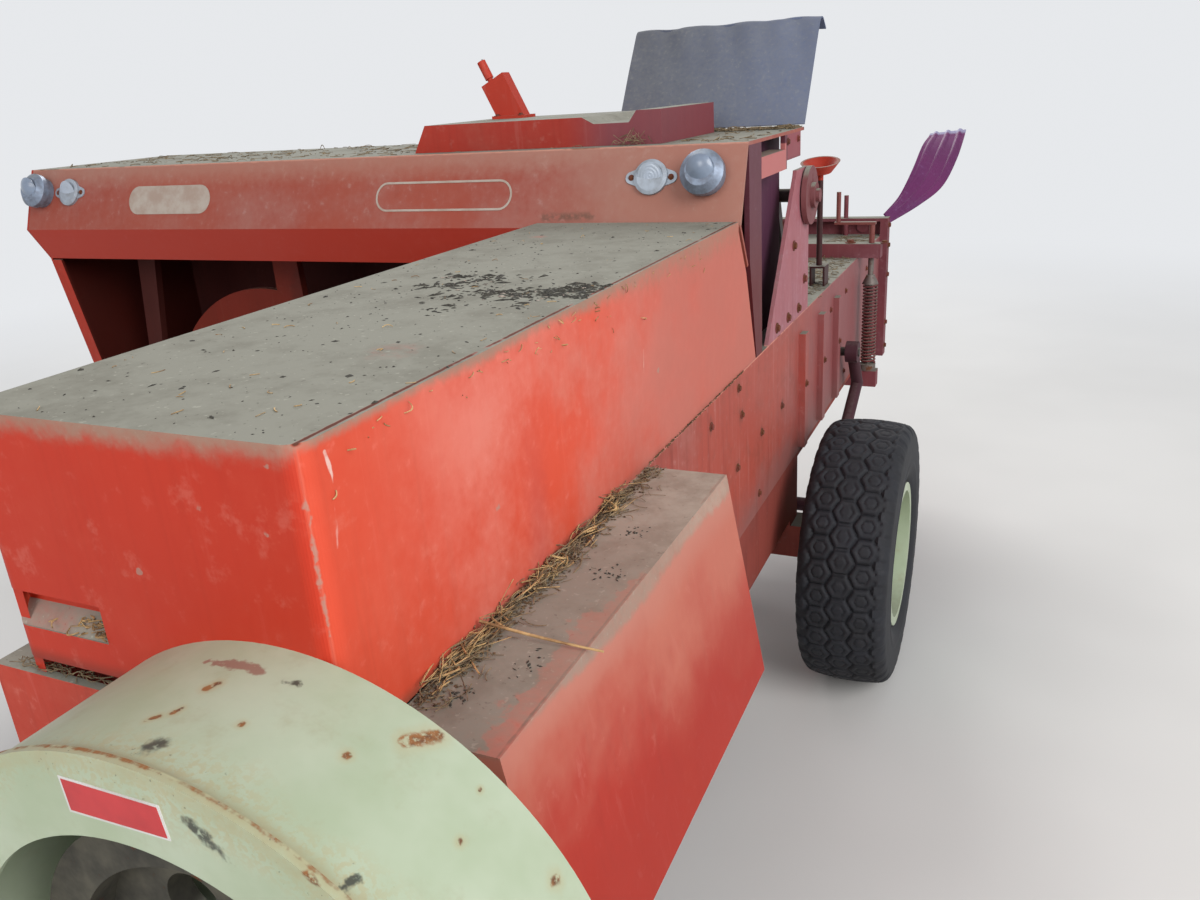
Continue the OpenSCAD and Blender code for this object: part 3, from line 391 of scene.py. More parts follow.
def dusty(b, colour, rough, amount, low=0.45, high=0.9, thin=None, creep=None, warm=None, pale=0.0):
    """Dust on what faces up; thin takes it away, creep adds it elsewhere, warm makes it brown, pale lighter."""
    clouds, flecks = b.noise(3.1), b.noise(95, 2)
    lie = (b.up + (clouds - 0.5) * 0.4).step(low, high) * amount
    if thin is not None:
        lie = lie * thin
    if creep is not None:
        lie = lie | creep
    lie = (lie + (flecks - 0.6) * 0.25).step(0.05, 0.75)
    powder = b.mix(b.noise(9, 5, 0.7).step(0.42, 0.68) * 0.5, b.mix(pale, dust_colour, dust_pale), dust_dark)
    powder = b.mix(flecks.step(0.64, 0.7) * 0.4, powder, dust_pale)
    powder = b.coats(powder, (flecks.step(0.34, 0.28) * 0.4, 78, 72, 62))
    if warm is not None:
        powder = b.coats(powder, (warm, 160, 120, 102))
    return b.mix(lie, colour, powder), rough + (0.97 - rough) * lie, lie


def paint(name, base, deep, faded, dust=1.0, rust=0.3, streak=0.4, gloss=0.45, low=0.45, high=0.9,
          fade=0.5, worn=(), grimy=(), extra=None):
    """Worn paint: two tints, chalk that follows a large noise, runs, scuffed and grimy lines, rust, dust."""
    b = Bench(name)
    base, deep, faded = srgb(*base), srgb(*deep), srgb(*faded)
    grey = 0.7 * float(np.dot(faded[:3], [0.21, 0.72, 0.07]))
    stain, chalky = tuple(0.55 * c for c in deep[:3]) + (1.0,), tuple(c + grey for c in faded[:3]) + (1.0,)
    large, middle, fine = b.noise(1.6), b.middle, b.fine
    colour = b.mix(large.step(0.35, 0.68) * 0.8, base, deep)
    chalk = (large * 0.4 + middle * 0.4 + fine * 0.2).step(0.62 - 0.3 * fade, 0.95 - 0.3 * fade)
    colour = b.mix(chalk * 0.6, colour, faded)
    side = 1 - abs(b.up)
    runs = b.noise(2.2, 4, 0.65, (22, 22, 0.9))
    colour = b.mix(runs.step(0.5, 0.75) * side * streak * 0.6, colour, stain)
    colour = b.mix(runs.step(0.42, 0.3) * side * streak * 0.35, colour, chalky)
    colour = b.mix(fine.step(0.6, 0.78) * 0.22, colour, chalky)
    bare = b.noise(14, 5, 0.7).step(0.80 - 0.12 * rust, 0.85 - 0.12 * rust)
    if worn:
        gap = b.lines(worn) + b.rough(0.006)
        colour = b.coats(colour, (gap.step(0.005, 0.001) * 0.6, 226, 156, 134))
        bare = bare | (gap.step(0.004, 0.001) * middle.step(0.56, 0.62))
    if grimy:
        colour = b.coats(colour, ((b.lines(grimy) + b.wavy(0.02)).step(0.020, 0.0) * 0.8, 62, 46, 38))
    colour = b.mix(bare, colour, b.mix(fine.step(0.4, 0.6), rust_colour, rust_dark))
    lay = {}
    if extra:
        colour, bare, lay = extra(b, colour, bare)
    rough = gloss + middle * 0.22 + bare * 0.35
    colour, rough, lie = dusty(b, colour, rough, dust, low, high, **lay)
    height = large * 2.0 + b.noise(120, 2) * 0.14 + lie * fine * 0.8 - bare * 0.3
    return b.finish(colour, rough, height, 0.3, 0.002, fixed={"Specular IOR Level": 0.25})


# Drips of pale paint are stretches between two points; chips and thin spots are points with a radius
hood_drips = [((0.980, -1.3290, 1.382), (0.980, -1.3245, 1.357)), ((0.980, -1.3245, 1.357), (0.980, -1.3260, 1.330)),
              ((0.980, -1.3260, 1.330), (0.980, -1.3340, 1.284)), ((0.980, -0.516, 1.268), (0.980, -0.521, 1.225))]
hood_chips = [(0.980, -1.034, 1.197, 0.005), (0.980, -0.452, 1.213, 0.007), (0.941, -1.365, 1.377, 0.004),
              (0.842, -1.365, 1.321, 0.006), (0.925, -1.365, 1.303, 0.004), (0.732, -1.365, 1.236, 0.003)]
hood_thin = [(0.597, -0.141, 0.05), (0.86, -1.042, 0.08)]


def hood_marks(b, colour, bare):
    """The hood: its front face darkened and its left side lightened as painted shade and light, a painted shade band
    low on the side, its side bright in front and dull behind, dust that hangs over its folds, drips and chips of
    paint.
    """
    middle, fine = b.middle, b.fine
    back, rear = (b.y + 1.25).step(0.0, 1.15), (b.y + 0.75).step(0.0, 0.75)
    side, front = b.axis(b.facing, 0).step(0.5, 0.8), b.axis(b.facing, 1).step(-0.6, -0.95)
    soft = (b.noise(3.1) * 0.6 + middle * 0.3 + fine * 0.2).step(0.36, 0.74) * (b.y + 1.33).step(0.0, 0.3)
    shade = (abs(b.y + 0.93) + b.rough(0.05)).step(0.05, 0.0) * side * (1.26 - b.z).step(-0.05, 0.1)
    drip = reduce(and_, (b.segment(p, q) for p, q in hood_drips)) + b.rough(0.004)
    drip = (drip - (b.z - 1.35).step(0.0, 0.02) * 0.0014).step(0.0020, 0.0002) * b.noise(30, 3).step(0.38, 0.5)
    seam = b.line("z", 0.9727, -1.3577)
    chips = (seam + b.rough(0.014)).step(0.0030, 0.0004) * b.noise(30, 3).step(0.50, 0.56)
    for x, y, z, r in hood_chips:
        chips = chips | (b.near((x, y, z)) + b.rough(0.024)).step(r, r * 0.4)
    crack = (b.line("y", 0.9730, hood_top) + b.rough(0.0036)).step(0.0046, 0.0016) * middle.step(0.32, 0.42) * 0.9
    # Painted light: front darkens the front face as painted shade, side lightens the left side as painted light, and
    # shade is a painted shade band low on the side
    colour = b.coats(
        colour, (front * 0.5, 164, 42, 22), (b.noise(14, 5, 0.7).step(0.56, 0.68) * 0.22, 206, 128, 112),
        (side * 0.24, 230, 110, 76), (soft * side * 0.62, 221, 136, 121),
        ((back + b.wavy(0.9)).step(0.1, 1.1) * side * 0.84, 178, 100, 86), (shade * 0.3, 170, 70, 66),
        (drip * (0.35 + (b.z - 1.34).step(0.0, 0.02) * 0.5), 222, 190, 178),
        ((seam + b.rough(0.003)).step(0.0026, 0.0006) * 0.18, 206, 130, 112), (chips * 0.6, 156, 138, 124),
        (crack, 66, 50, 40))
    thin = 1 - crack
    for x, y, r in hood_thin:
        thin = thin * (1 - (b.near((x, y, hood_top)) + b.wavy(0.1)).step(r, 0.0) * 0.45)
    reach = back * 0.022 + rear * 0.040 + front * 0.014 + 0.013
    drop = (hood_top - b.z) / reach + b.wavy(1.5) + b.rough(0.9)
    hang = drop.step(1.5, -0.3) * (0.72 - rear * 0.2) * (1 - crack)
    return colour, bare | crack * 1.4, {"thin": thin, "creep": hang, "warm": (0.6 - b.up).step(0.0, 0.3) * 0.75}


def side_marks(b, colour, bare):
    """The side guard: warm dust that creeps over the fold, more so behind, dull above and deep red below."""
    ahead, on_top = (-0.72 - b.y).step(0.0, 0.5), (b.up - 0.5).step(0.0, 0.3)
    dull = (b.z - 0.84 + b.wavy(0.3) + (b.y + 0.86) * 0.2).step(-0.06, 0.18)
    drop = (guard_top - b.z) - (b.y + 1.25).step(0.0, 0.3) * 0.026 - 0.006 - b.wavy(0.06)
    crack = b.segment((1.1215, -1.315, guard_top), (1.1215, -0.525, guard_top)) + b.rough(0.004)
    crack = crack.step(0.0026, 0.0008) * b.middle.step(0.4, 0.5) * 0.7
    rub = (b.x - 1.116 + ahead * 0.032 + b.wavy(0.15) + b.rough(0.05)).step(0.0, 0.026) * on_top
    colour = b.coats(colour, (dull * 0.66, 188, 120, 100), (drop.step(0.05, 0.0) * 0.5, 182, 124, 108),
                     (rub * 0.6, 188, 106, 92), (crack, 84, 60, 52),
                     ((0.92 - b.z).step(0.0, 0.14) * 0.6, 156, 38, 24))
    return colour, bare, {
        "thin": 1 - (crack | rub * (0.45 + ahead * 0.4)), "creep": drop.step(0.008, -0.012) * 0.55,
        "warm": 0.26 - ahead * 0.16 + rub * 0.3 + (0.6 - b.up).step(0.0, 0.3) * 0.2,
        "pale": (b.y + 0.98).step(0.0, 0.4)}


def back_marks(b, colour, bare):
    """The housing's back: its outside has kept a faded red, while the side towards the forks is darkened as painted
    shade.
    """
    outside = b.axis(b.facing, 1).step(0.2, 0.7) * (b.y - 0.6).step(0.0, 0.02)
    tint = b.mix(b.middle.step(0.35, 0.65), srgb(150, 58, 44), srgb(122, 46, 38))
    return b.mix(outside * 0.9, colour, tint), bare, {}


# Bolts of the chamber's left side: place along the machine and height; the first seven have smeared the paint
side_bolts = ((0.457, 0.858), (0.247, 0.855), (0.048, 1.030), (0.031, 0.842), (-0.16, 1.008), (0.071, 0.959),
              (0.727, 0.720), (1.103, 0.976), (-0.42, 0.70), (0.22, 0.70), (1.36, 0.70), (1.78, 0.70), (2.04, 0.70),
              (1.36, 0.985), (1.78, 0.985), (2.04, 0.985))


def chamber_marks(b, colour, bare):
    """The chamber: a painted bluish haze makes it duller and bluer to the rear, brown smears round the bolts, its
    foot grey with splashed dirt.
    """
    smears = [((b.near((left_face, y, z)) + b.rough(0.05)).step(0.026, 0.004) * 0.6, 104, 62, 50)
              for y, z in side_bolts[:7]]
    # Painted haze: the tint towards the rear stands for a bluish haze of light
    return b.coats(colour, (b.noise(14, 5, 0.7).step(0.50, 0.66) * 0.35, 132, 66, 52), *smears,
                   ((b.y - 0.3 + b.wavy(0.5)).step(0.0, 0.9) * 0.66, 122, 80, 86),
                   ((0.80 - b.z + b.wavy(0.16)).step(0.0, 0.16) * 0.6, 128, 92, 88)), bare, {}


def post_marks(b, colour, bare):
    """The housing's left post: its brace has kept a pale salmon, the plate behind it is redder, its foot darker."""
    plate = (b.y - 0.50).step(0.0, 0.01) * (b.z - 1.48).step(0.0, 0.02)
    brace = (b.y - 0.252).step(0.0, 0.008) * (0.498 - b.y).step(0.0, 0.008) * (b.z - 1.462).step(0.0, 0.006)
    return b.coats(colour, (plate * 0.7, 150, 74, 80), ((1.42 - b.z).step(0.0, 0.22) * 0.8, 90, 28, 26),
                   (brace * (1.535 - b.z).step(0.0, 0.004) * 0.85, 190, 112, 108)), bare, {}


def inside_dark(b, colour, bare):
    """The feeder housing: a painted shade darkens all that lies behind its lip, whose folded edge is a cleaner red.
    """
    on_lip = (b.z - 1.389).step(0.0, 0.003) * (0.16 - b.y).step(0.0, 0.02)
    edge = (1.3885 - b.z).step(0.0, 0.003) * (0.19 - b.y).step(0.0, 0.03) * (0.96 - b.x).step(0.0, 0.03)
    ends = ((b.x - 0.42).step(0.0, 0.35) | (b.z - 1.485 + b.rough(0.03)).step(0.0, 0.07)) * on_lip
    smear = (b.segment((0.50, 0.085, 1.41), (0.62, 0.086, 1.412)) + b.rough(0.03)).step(0.016, 0.004)
    # Painted shade: depth darkens the inside of the housing behind the lip
    depth = (b.y - 0.16).step(0.0, 0.14) * (1.552 - b.z).step(0.0, 0.02) * (b.up - 0.9).step(0.05, -0.05)
    return b.coats(colour, (edge * 0.85, 176, 48, 30), (ends * 0.5, 166, 130, 114),
                   (smear * b.fine.step(0.35, 0.6) * 0.7, 92, 70, 56), (depth * 0.92, 20, 12, 13)), bare, {}


def tinted(where, red, green, blue):
    """Marks of a piece that needs only one more tint; where() gives its place and strength."""
    return lambda b, colour, bare: (b.coats(colour, (where(b), red, green, blue)), bare, {})


# Grease on the dish's stem, a painted highlight on the guide sheet's top edge, painted shade inside the housing's end
# and on the cover's left end, a painted blue sky light on the knotter hood's left half, and painted shade on the
# packer's bars beside its round plate
stem_dark = tinted(lambda b: (1.385 - b.z).step(0.0, 0.004) * 0.95, 40, 26, 28)
guide_edge_highlight = tinted(lambda b: (b.y - 2.722).step(0.0, 0.016) * 0.85, 160, 158, 186)
end_dark = tinted(lambda b: b.axis(b.facing, 0).step(0.2, 0.6) * (b.y - 0.02).step(0.0, 0.14) * 0.9, 48, 17, 12)
cover_shade = tinted(lambda b: (b.x - 0.5).step(0.0, 0.15) * 0.7, 108, 68, 78)
hood_sky_light = tinted(lambda b: (b.x - 0.5).step(0.0, 0.5) * 0.5, 108, 120, 152)
packer_shade = tinted(lambda b: ((b.x + 0.56 + b.wavy(0.3)).step(0.0, 0.22)
                                | (-0.95 - b.x).step(0.0, 0.02)) * 0.75, 44, 22, 20)

paint_hood = paint("paint_hood", (206, 62, 38), (190, 50, 31), (206, 92, 70), rust=0.1, streak=0.3,
                   grimy=[("y", left_face, chamber_top), ("x", hood_front, 1.086)], extra=hood_marks)
paint_side = paint("paint_side_guard", (174, 45, 29), (160, 39, 25), (184, 84, 64), rust=0.1, fade=0.3,
                   extra=side_marks)
paint_red = paint("paint_red", (186, 56, 36), (164, 46, 30), (196, 98, 78), rust=0.5, streak=0.6, fade=0.7)
paint_lip = paint("paint_lip", (150, 72, 56), (142, 56, 42), (156, 112, 102), rust=0.2, streak=0.25,
                  fade=0.8, worn=[("x", 0.143, housing_top)], grimy=[("x", 0.69, housing_top)], extra=inside_dark)
paint_lever = paint("paint_lever", (176, 54, 36), (154, 44, 32), (170, 86, 70), dust=0.5, extra=stem_dark)
paint_cover = paint("paint_cover", (168, 52, 36), (146, 42, 32), (160, 84, 70), dust=0.8, rust=0.4, extra=cover_shade)
paint_end = paint("paint_end", (166, 48, 30), (140, 42, 28), (160, 76, 56), dust=0.6, rust=0.5, extra=end_dark)
paint_chamber = paint("paint_chamber", (164, 72, 58), (144, 57, 48), (170, 110, 100), dust=0.9, rust=0.5,
                      streak=0.7, fade=0.8, worn=[("y", left_face, chamber_top)], grimy=[("y", left_face, 0.64)],
                      extra=chamber_marks)
paint_gusset = paint("paint_gusset", (158, 92, 98), (146, 74, 80), (172, 130, 140), dust=0.7, rust=0.4,
                     streak=0.6, fade=0.8, worn=[("x", 0.31, chamber_top)])
paint_post = paint("paint_post", (96, 44, 54), (78, 36, 46), (108, 68, 80), dust=0.6, rust=0.4, fade=0.7,
                   extra=post_marks)
paint_rear = paint("paint_rear", (128, 64, 68), (100, 50, 58), (138, 92, 98), dust=0.8, rust=0.6, gloss=0.55)
paint_spring = paint("paint_spring", (112, 50, 50), (84, 40, 44), (120, 74, 74), dust=0.5, rust=0.8, gloss=0.6)
paint_yoke = paint("paint_yoke", (68, 34, 42), (50, 27, 34), (76, 50, 56), dust=0.2, rust=0.5, gloss=0.55)
paint_frame = paint("paint_frame", (142, 66, 56), (106, 50, 44), (140, 92, 82), dust=0.9, rust=0.9, gloss=0.6)
# This dark inner paint is painted shade inside the housing and on the feed floor; the housing back's outside keeps a
# faded red
paint_inner_shade = paint("paint_inner_shade", (72, 26, 22), (38, 18, 18), (84, 44, 36), dust=0.5, rust=0.5, gloss=0.7,
                    extra=back_marks)
paint_plate = paint("paint_packer", (112, 30, 13), (86, 24, 11), (104, 40, 22), dust=0.3, rust=0.4, gloss=0.6,
                    extra=packer_shade)
# The guide sheet's purple-maroon is the machine's red paint with painted shade and blue sky light in it; its top edge
# gets a painted highlight
paint_maroon = paint("paint_maroon", (106, 42, 92), (82, 30, 76), (126, 86, 134), dust=0.1, rust=0.1,
                     extra=guide_edge_highlight)
paint_screen = paint("paint_screen", (80, 42, 64), (66, 31, 46), (98, 58, 68), dust=0.4, gloss=0.6)
# The sheet's dark blue-grey is partly painted shade, and its left half gets a painted blue sky light
paint_sheet = paint("paint_old_sheet", (90, 94, 108), (80, 82, 94), (108, 108, 116), dust=0.3,
                    rust=0.4, gloss=0.75, low=-0.2, high=0.7, extra=hood_sky_light)
print("paints made")

# %% [markdown]
# ## Cream paint, steel, rubber and glass
# The flywheel guard and the rims are pale cream. The guard carries rust spots and a few black
# smudges, placed where they sit on the real drum.

# %% Other finishes
def cream(name, spots=(), smudges=(), patches=(), dust=0.5, worn=None):
    """Aged cream paint: greenish clouds and grime; spots, smudges and patches are rows of two ends and a radius."""
    b = Bench(name)
    middle, fine, grain = b.noise(5, 4, 0.65), b.noise(55, 3, 0.65), b.noise(140, 3)
    colour = b.mix(middle.step(0.35, 0.7), srgb(174, 184, 160), srgb(160, 172, 143))
    colour = b.coats(colour, (b.noise(17, 4, 0.7).step(0.52, 0.78) * 0.4, 150, 144, 112))
    warp, none = (fine - 0.5) * 0.016, fine * 0
    bare, halo = b.noise(26, 4, 0.7).step(0.76, 0.80), none
    for p, q, r in spots:
        gap = b.segment(p, q) + warp * min(1, r * 120)
        bare, halo = bare | gap.step(r, r * 0.4) * grain.step(0.3, 0.5), halo | (gap.step(r * 2.4, r * 0.5) * 0.5)

    def blots(rows, uneven, inner, breaks):
        """Blots along short stretches, with an uneven edge, broken up by the grain."""
        return reduce(or_, ((b.segment(p, q) + warp * uneven).step(r, r * inner) * breaks for p, q, r in rows), none)

    black = blots(smudges, 1.8, 0.1, (fine + grain * 0.6).step(0.52, 0.72))
    old_red = blots(patches, 1.4, 0.5, (fine + grain * 0.5).step(0.45, 0.62))
    if worn:
        gap = worn(b)
        bare = bare | (gap + (fine - 0.5) * 0.012).step(0.0040, 0.001)
        stain = (gap + (middle - 0.55) * 0.14).step(0.055, 0.0) * grain.step(0.42, 0.58)
        halo = halo | ((gap + warp).step(0.018, 0.0) * 0.8) | (stain * 0.7)
        black = black | (b.noise(190, 2).step(0.70, 0.75) * (gap + (middle - 0.5) * 0.08).step(0.06, 0.0) * 0.7)
    eaten = b.mix(fine.step(0.4, 0.6), srgb(140, 92, 50), srgb(98, 62, 38))
    eaten = b.coats(eaten, (grain.step(0.6, 0.66) * 0.6, 164, 152, 128))
    colour = b.mix(bare, b.coats(colour, (halo * 0.55, 168, 138, 84)), eaten)
    colour = b.coats(colour, (old_red * 0.8, 132, 84, 74), (black * 0.9, 36, 38, 34))
    rough = 0.38 + middle * 0.2 + bare * 0.3
    colour, rough, lie = dusty(b, colour, rough, dust, 0.5, 1.25)
    height = b.noise(6, 3) * 1.4 + b.noise(130, 2) * 0.15 - bare * 0.3 + lie * fine * 0.3
    return b.finish(colour, rough, height, 0.3, 0.002)


# Rows of two ends and a radius, as they lie on the real drum
guard_spots = [
    ((0.893, -1.447, 1.177), (0.898, -1.436, 1.177), 0.005), ((0.892, -1.487, 1.177), (0.895, -1.479, 1.177), 0.004),
    ((0.877, -1.503, 1.176), (0.883, -1.495, 1.176), 0.004), ((0.962, -1.476, 1.172), (0.962, -1.474, 1.172), 0.004),
    ((1.055, -1.452, 1.145), (1.056, -1.450, 1.145), 0.005), ((1.083, -1.402, 1.131), (1.098, -1.374, 1.121), 0.009),
    ((1.220, -1.392, 1.003), (1.221, -1.389, 1.002), 0.007), ((1.149, -1.391, 1.085), (1.149, -1.389, 1.085), 0.003),
    ((1.160, -1.446, 1.076), (1.160, -1.444, 1.076), 0.004), ((1.102, -1.566, 1.129), (1.108, -1.566, 1.124), 0.007)]
guard_smudges = [
    ((0.909, -1.534, 1.177), (0.917, -1.526, 1.177), 0.011), ((0.979, -1.566, 1.144), (0.998, -1.566, 1.132), 0.008),
    ((0.998, -1.566, 1.132), (1.013, -1.566, 1.118), 0.009), ((1.120, -1.550, 1.108), (1.124, -1.536, 1.106), 0.005),
    ((0.957, -1.410, 1.173), (0.965, -1.406, 1.173), 0.006)]
guard_patches = [
    ((0.852, -1.405, 1.174), (0.885, -1.407, 1.176), 0.006), ((0.885, -1.406, 1.176), (0.922, -1.406, 1.177), 0.009)]


def bead_gap(b):
    """Distance from the guard's front bead: both the height over the drum and the depth count."""
    return abs(b.line("y", guard_x, guard_z) - 0.3775) | abs(b.y + 1.5565)


cream_guard = cream("cream_guard", guard_spots, guard_smudges, guard_patches, 0.15, bead_gap)
cream_rim = cream("cream_rim", dust=0.6)


def metal(name, light, dark, rust=0.4, rough=0.4, metallic=0.8, dust=0.6, extra=None):
    """Bare or greasy metal: two tints, rust clouds and dust on top."""
    b = Bench(name)
    middle = b.noise(24, 4, 0.7)
    colour = b.mix(b.noise(12, 4, 0.65).step(0.35, 0.7), srgb(*light), srgb(*dark))
    eaten = middle.step(0.66 - 0.25 * rust, 0.78 - 0.25 * rust)
    colour = b.mix(eaten, colour, b.mix(b.noise(70, 2), rust_colour, rust_dark))
    shown = 1 - eaten
    if extra:
        colour, shown = extra(b, colour, shown)
    colour, shine, lie = dusty(b, colour, rough + middle * 0.25 + eaten * 0.3, dust, 0.5, 1.0)
    return b.finish(colour, shine, middle * 1.2 + eaten * 0.5, 0.35, 0.0015, metal=shown * (1 - lie) * metallic)


def painted(where, *tint):
    """Paint on a part of a metal piece; where() tells the part."""
    def marks(b, colour, shown):
        there = where(b)
        return b.coats(colour, (there, *tint)), shown * (1 - there)
    return marks


# The clutch disc outside the chamber's side and the density cranks over their beam are painted
red_disc = painted(lambda b: (b.x - 0.982).step(0.0, 0.001), 112, 60, 62)
red_crank = painted(lambda b: (b.z - 1.11).step(0.0, 0.002), 118, 58, 52)
steel = metal("bare_steel", (160, 156, 150), (112, 104, 96), 0.5, 0.38)
screw_steel = metal("screw_steel", (120, 112, 106), (84, 74, 70), 0.6, 0.45, 0.6, 0.6, red_crank)
cast_iron = metal("cast_iron", (84, 80, 68), (50, 48, 42), 0.2, 0.6, 0.2)
knotter_iron = metal("knotter_iron", (86, 78, 76), (52, 46, 46), 0.5, 0.55, 0.35, 0.8, red_disc)
dark_steel = metal("dark_steel", (66, 58, 54), (42, 36, 34), 0.35, 0.55, 0.3)
zinc = metal("zinc", (150, 148, 144), (112, 108, 102), 0.25, 0.42, 0.6, 0.4)
rusty = metal("rusty_heads", (116, 54, 42), (86, 44, 37), 0.9, 0.6, 0.2, 0.12)


def rubber(name):
    """Dry tyre rubber: near black in the grooves, grey with dust on the blocks."""
    b = Bench(name)
    clouds = b.noise(9, 4, 0.65)
    colour = b.mix(clouds.step(0.35, 0.7), srgb(12, 13, 19), srgb(22, 24, 31))
    colour = b.coats(colour, (b.noise(45, 4, 0.7).step(0.5, 0.75) * 0.4, 50, 50, 54))
    colour, rough, _ = dusty(b, colour, 0.72 + clouds * 0.1, 0.1, 0.4, 1.3)
    return b.finish(colour, rough, b.noise(90, 3) + b.noise(14, 3), 0.3, 0.0012)


tyre_rubber = rubber("tyre_rubber")


def plain(name, colour, other, rough, scale=30, metallic=0.0, dust=0.4, coat=0.0):
    """A small part's finish: two tints in fine clouds, under a little dust; a lens has a clear coat."""
    b = Bench(name)
    clouds = b.noise(scale, 3)
    tint = b.mix(clouds.step(0.35, 0.7), srgb(*colour), srgb(*other))
    tint, shine, _ = dusty(b, tint, rough + clouds * 0.1, dust, 0.5, 1.1)
    return b.finish(tint, shine, b.noise(scale * 3, 3), 0.2, 0.001, metallic or None, {"Coat Weight": coat})


grip_rubber = plain("grip_rubber", (26, 26, 28), (52, 50, 48), 0.6)
lamp_body = plain("lamp_body", (132, 144, 162), (104, 110, 122), 0.4, 40, 0.4, 0.5)
lamp_lens = plain("lamp_lens", (130, 144, 164), (110, 120, 136), 0.24, 12, coat=0.3)
pale_lens = plain("pale_lens", (172, 182, 196), (156, 164, 174), 0.3, 25, coat=0.3)
pale_tin = plain("pale_tin", (160, 168, 178), (138, 142, 148), 0.45, 30, 0.3, 0.5)
pale_plate = plain("pale_plate", (170, 158, 146), (156, 136, 122), 0.5, 22, dust=0.3)
red_plate = plain("red_plate", (190, 42, 46), (174, 38, 42), 0.4, 16, dust=0.2)
white_plate = plain("white_plate", (206, 204, 200), (190, 186, 180), 0.4, 22, dust=0.2)
straw_dry = plain("straw", (190, 158, 108), (112, 80, 48), 0.7, 34, dust=0.0)
straw_grey = plain("straw_grey", (134, 116, 88), (86, 70, 50), 0.8, 60, dust=0.0)
crumb = plain("crumb", (64, 60, 52), (36, 34, 30), 0.9, 200, dust=0.0)
litter = plain("litter", (104, 82, 56), (58, 44, 32), 0.9, 120, dust=0.0)
print("finishes made")

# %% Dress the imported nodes
looks = {
    tyre_rubber: ["gauge_wheel"],
    cream_rim: ["left_rim", "right_rim"],
    cream_guard: ["flywheel_guard"],
    paint_hood: ["front_hood"],
    paint_side: ["side_guard"],
    paint_lip: ["housing_top"],
    paint_end: ["housing_end"],
    paint_cover: ["drive_cover"],
    paint_lever: ["hand_lever", "twine_dish"],
    paint_red: ["front_panel", "twine_box", "twine_lid"],
    paint_chamber: ["chamber_left", "chamber_right_front", "chamber_right_rear", "chamber_roof"],
    paint_gusset: ["knotter_stand"],
    paint_post: ["housing_post"],
    paint_rear: ["density_beams", "rear_posts", "rear_panel", "metering_stand"],
    paint_spring: ["density_springs"],
    paint_yoke: ["needle_yoke"],
    paint_frame: ["axle", "frame_rails", "frame_cross", "platform_legs", "chamber_floor", "pickup_frame",
                  "wind_guard", "drawbar_bracket", "drawbar"],
    paint_inner_shade: ["housing_back", "feed_floor"],
    paint_plate: ["packer_forks"],
    paint_screen: ["housing_screen"],
    paint_maroon: ["bale_guide"],
    paint_sheet: ["knotter_hood"],
    cast_iron: ["gearbox", "flywheel"],
    knotter_iron: ["knotters"],
    dark_steel: ["packer_rail", "knotter_hinge", "yoke_pivots", "pickup_reel", "jack_sleeve"],
    steel: ["pickup_bands", "metering_wheel", "jack_leg"],
    screw_steel: ["density_screws"],
    lamp_body: ["lamps"],
    pale_tin: ["reflectors"],
}
for material, names in looks.items():
    for name in names:
        mesh = nodes[name].data
        mesh.materials.clear()
        mesh.materials.append(material)
undressed = sorted(set(nodes) - {n for names in looks.values() for n in names})
print("undressed", undressed)

# %% [markdown]
# ## Floor
# The floor and the world are pale and plain, so that the machine stands out. Far from the machine
# the floor turns into the backdrop's own pale glow, which hides the horizon. The camera, mirrors and
# glass see that glow, but it lights nothing. They are stage, not part of the object.

# %% Floor and world
def only_seen(graph, usual, glow_kind, share=1.0):
    """Mixes the backdrop's glow over a shader, for the rays of camera, mirrors and glass only."""
    kinds_of_ray = ("Is Camera Ray", "Is Glossy Ray", "Is Transmission Ray")
    clear = reduce(or_, (graph.node("ShaderNodeLightPath", {}, [], kind) for kind in kinds_of_ray))
    glow = graph.node(glow_kind, {}, [srgb(236, 238, 241), 0.95])
    return graph.node("ShaderNodeMixShader", {}, [clear * share, usual, glow])


ground = Bench("floor")
tint = ground.mix(ground.noise(0.6, 3).step(0.3, 0.7), srgb(212, 210, 206), srgb(204, 202, 198))
floor_mesh = bpy.data.meshes.new("floor")
floor_mesh.from_pydata([(-60, -60, 0), (60, -60, 0), (60, 60, 0), (-60, 60, 0)], [], [(0, 1, 2, 3)])
floor_mesh.materials.append(ground.finish(tint, 0.9))
far = ground.near((0.0, 0.0, 0.0)).step(2.6, 9.0)
lit_floor = Wire(ground, ground.shader.outputs[0])
ground.surface(only_seen(ground, lit_floor, "ShaderNodeEmission", far), "Material Output")
link("floor", floor_mesh)
world = bpy.data.worlds.new("room")
bpy.context.scene.world = world
air = Graph(world)
air.tree.nodes.remove(air.tree.nodes["Background"])
room = air.node("ShaderNodeBackground", {}, [srgb(232, 236, 244), 0.5])
air.surface(only_seen(air, room, "ShaderNodeBackground"), "World Output")
print("stage made")

# %% [markdown]
# ## Tyres
# These are implement tyres with a flat crown of hexagonal blocks. A tyre is one closed profile
# turned round the axle, and the tread is a height that is added to the radius: each point of the
# crown looks for the nearest centre of a honeycomb, and the groove is where two centres are about
# equally far. The blocks' tops keep the radius of the solid that the tyre stands for.

# %% Tread and side walls
def honeycomb(s, t, cell):
    """Edge distance of a honeycomb, in cells: 0 in the groove and 0.5 at a block's middle."""
    q = np.stack([s / cell, t / cell], -1)
    r = np.array([1.0, math.sqrt(3)])
    a = np.mod(q + r / 2, r) - r / 2
    c = np.mod(q, r) - r / 2
    g = np.where((a ** 2).sum(-1, keepdims=True) < (c ** 2).sum(-1, keepdims=True), a, c)
    g = np.abs(g)
    return 0.5 - np.maximum(g[..., 0], g @ (r / 2))


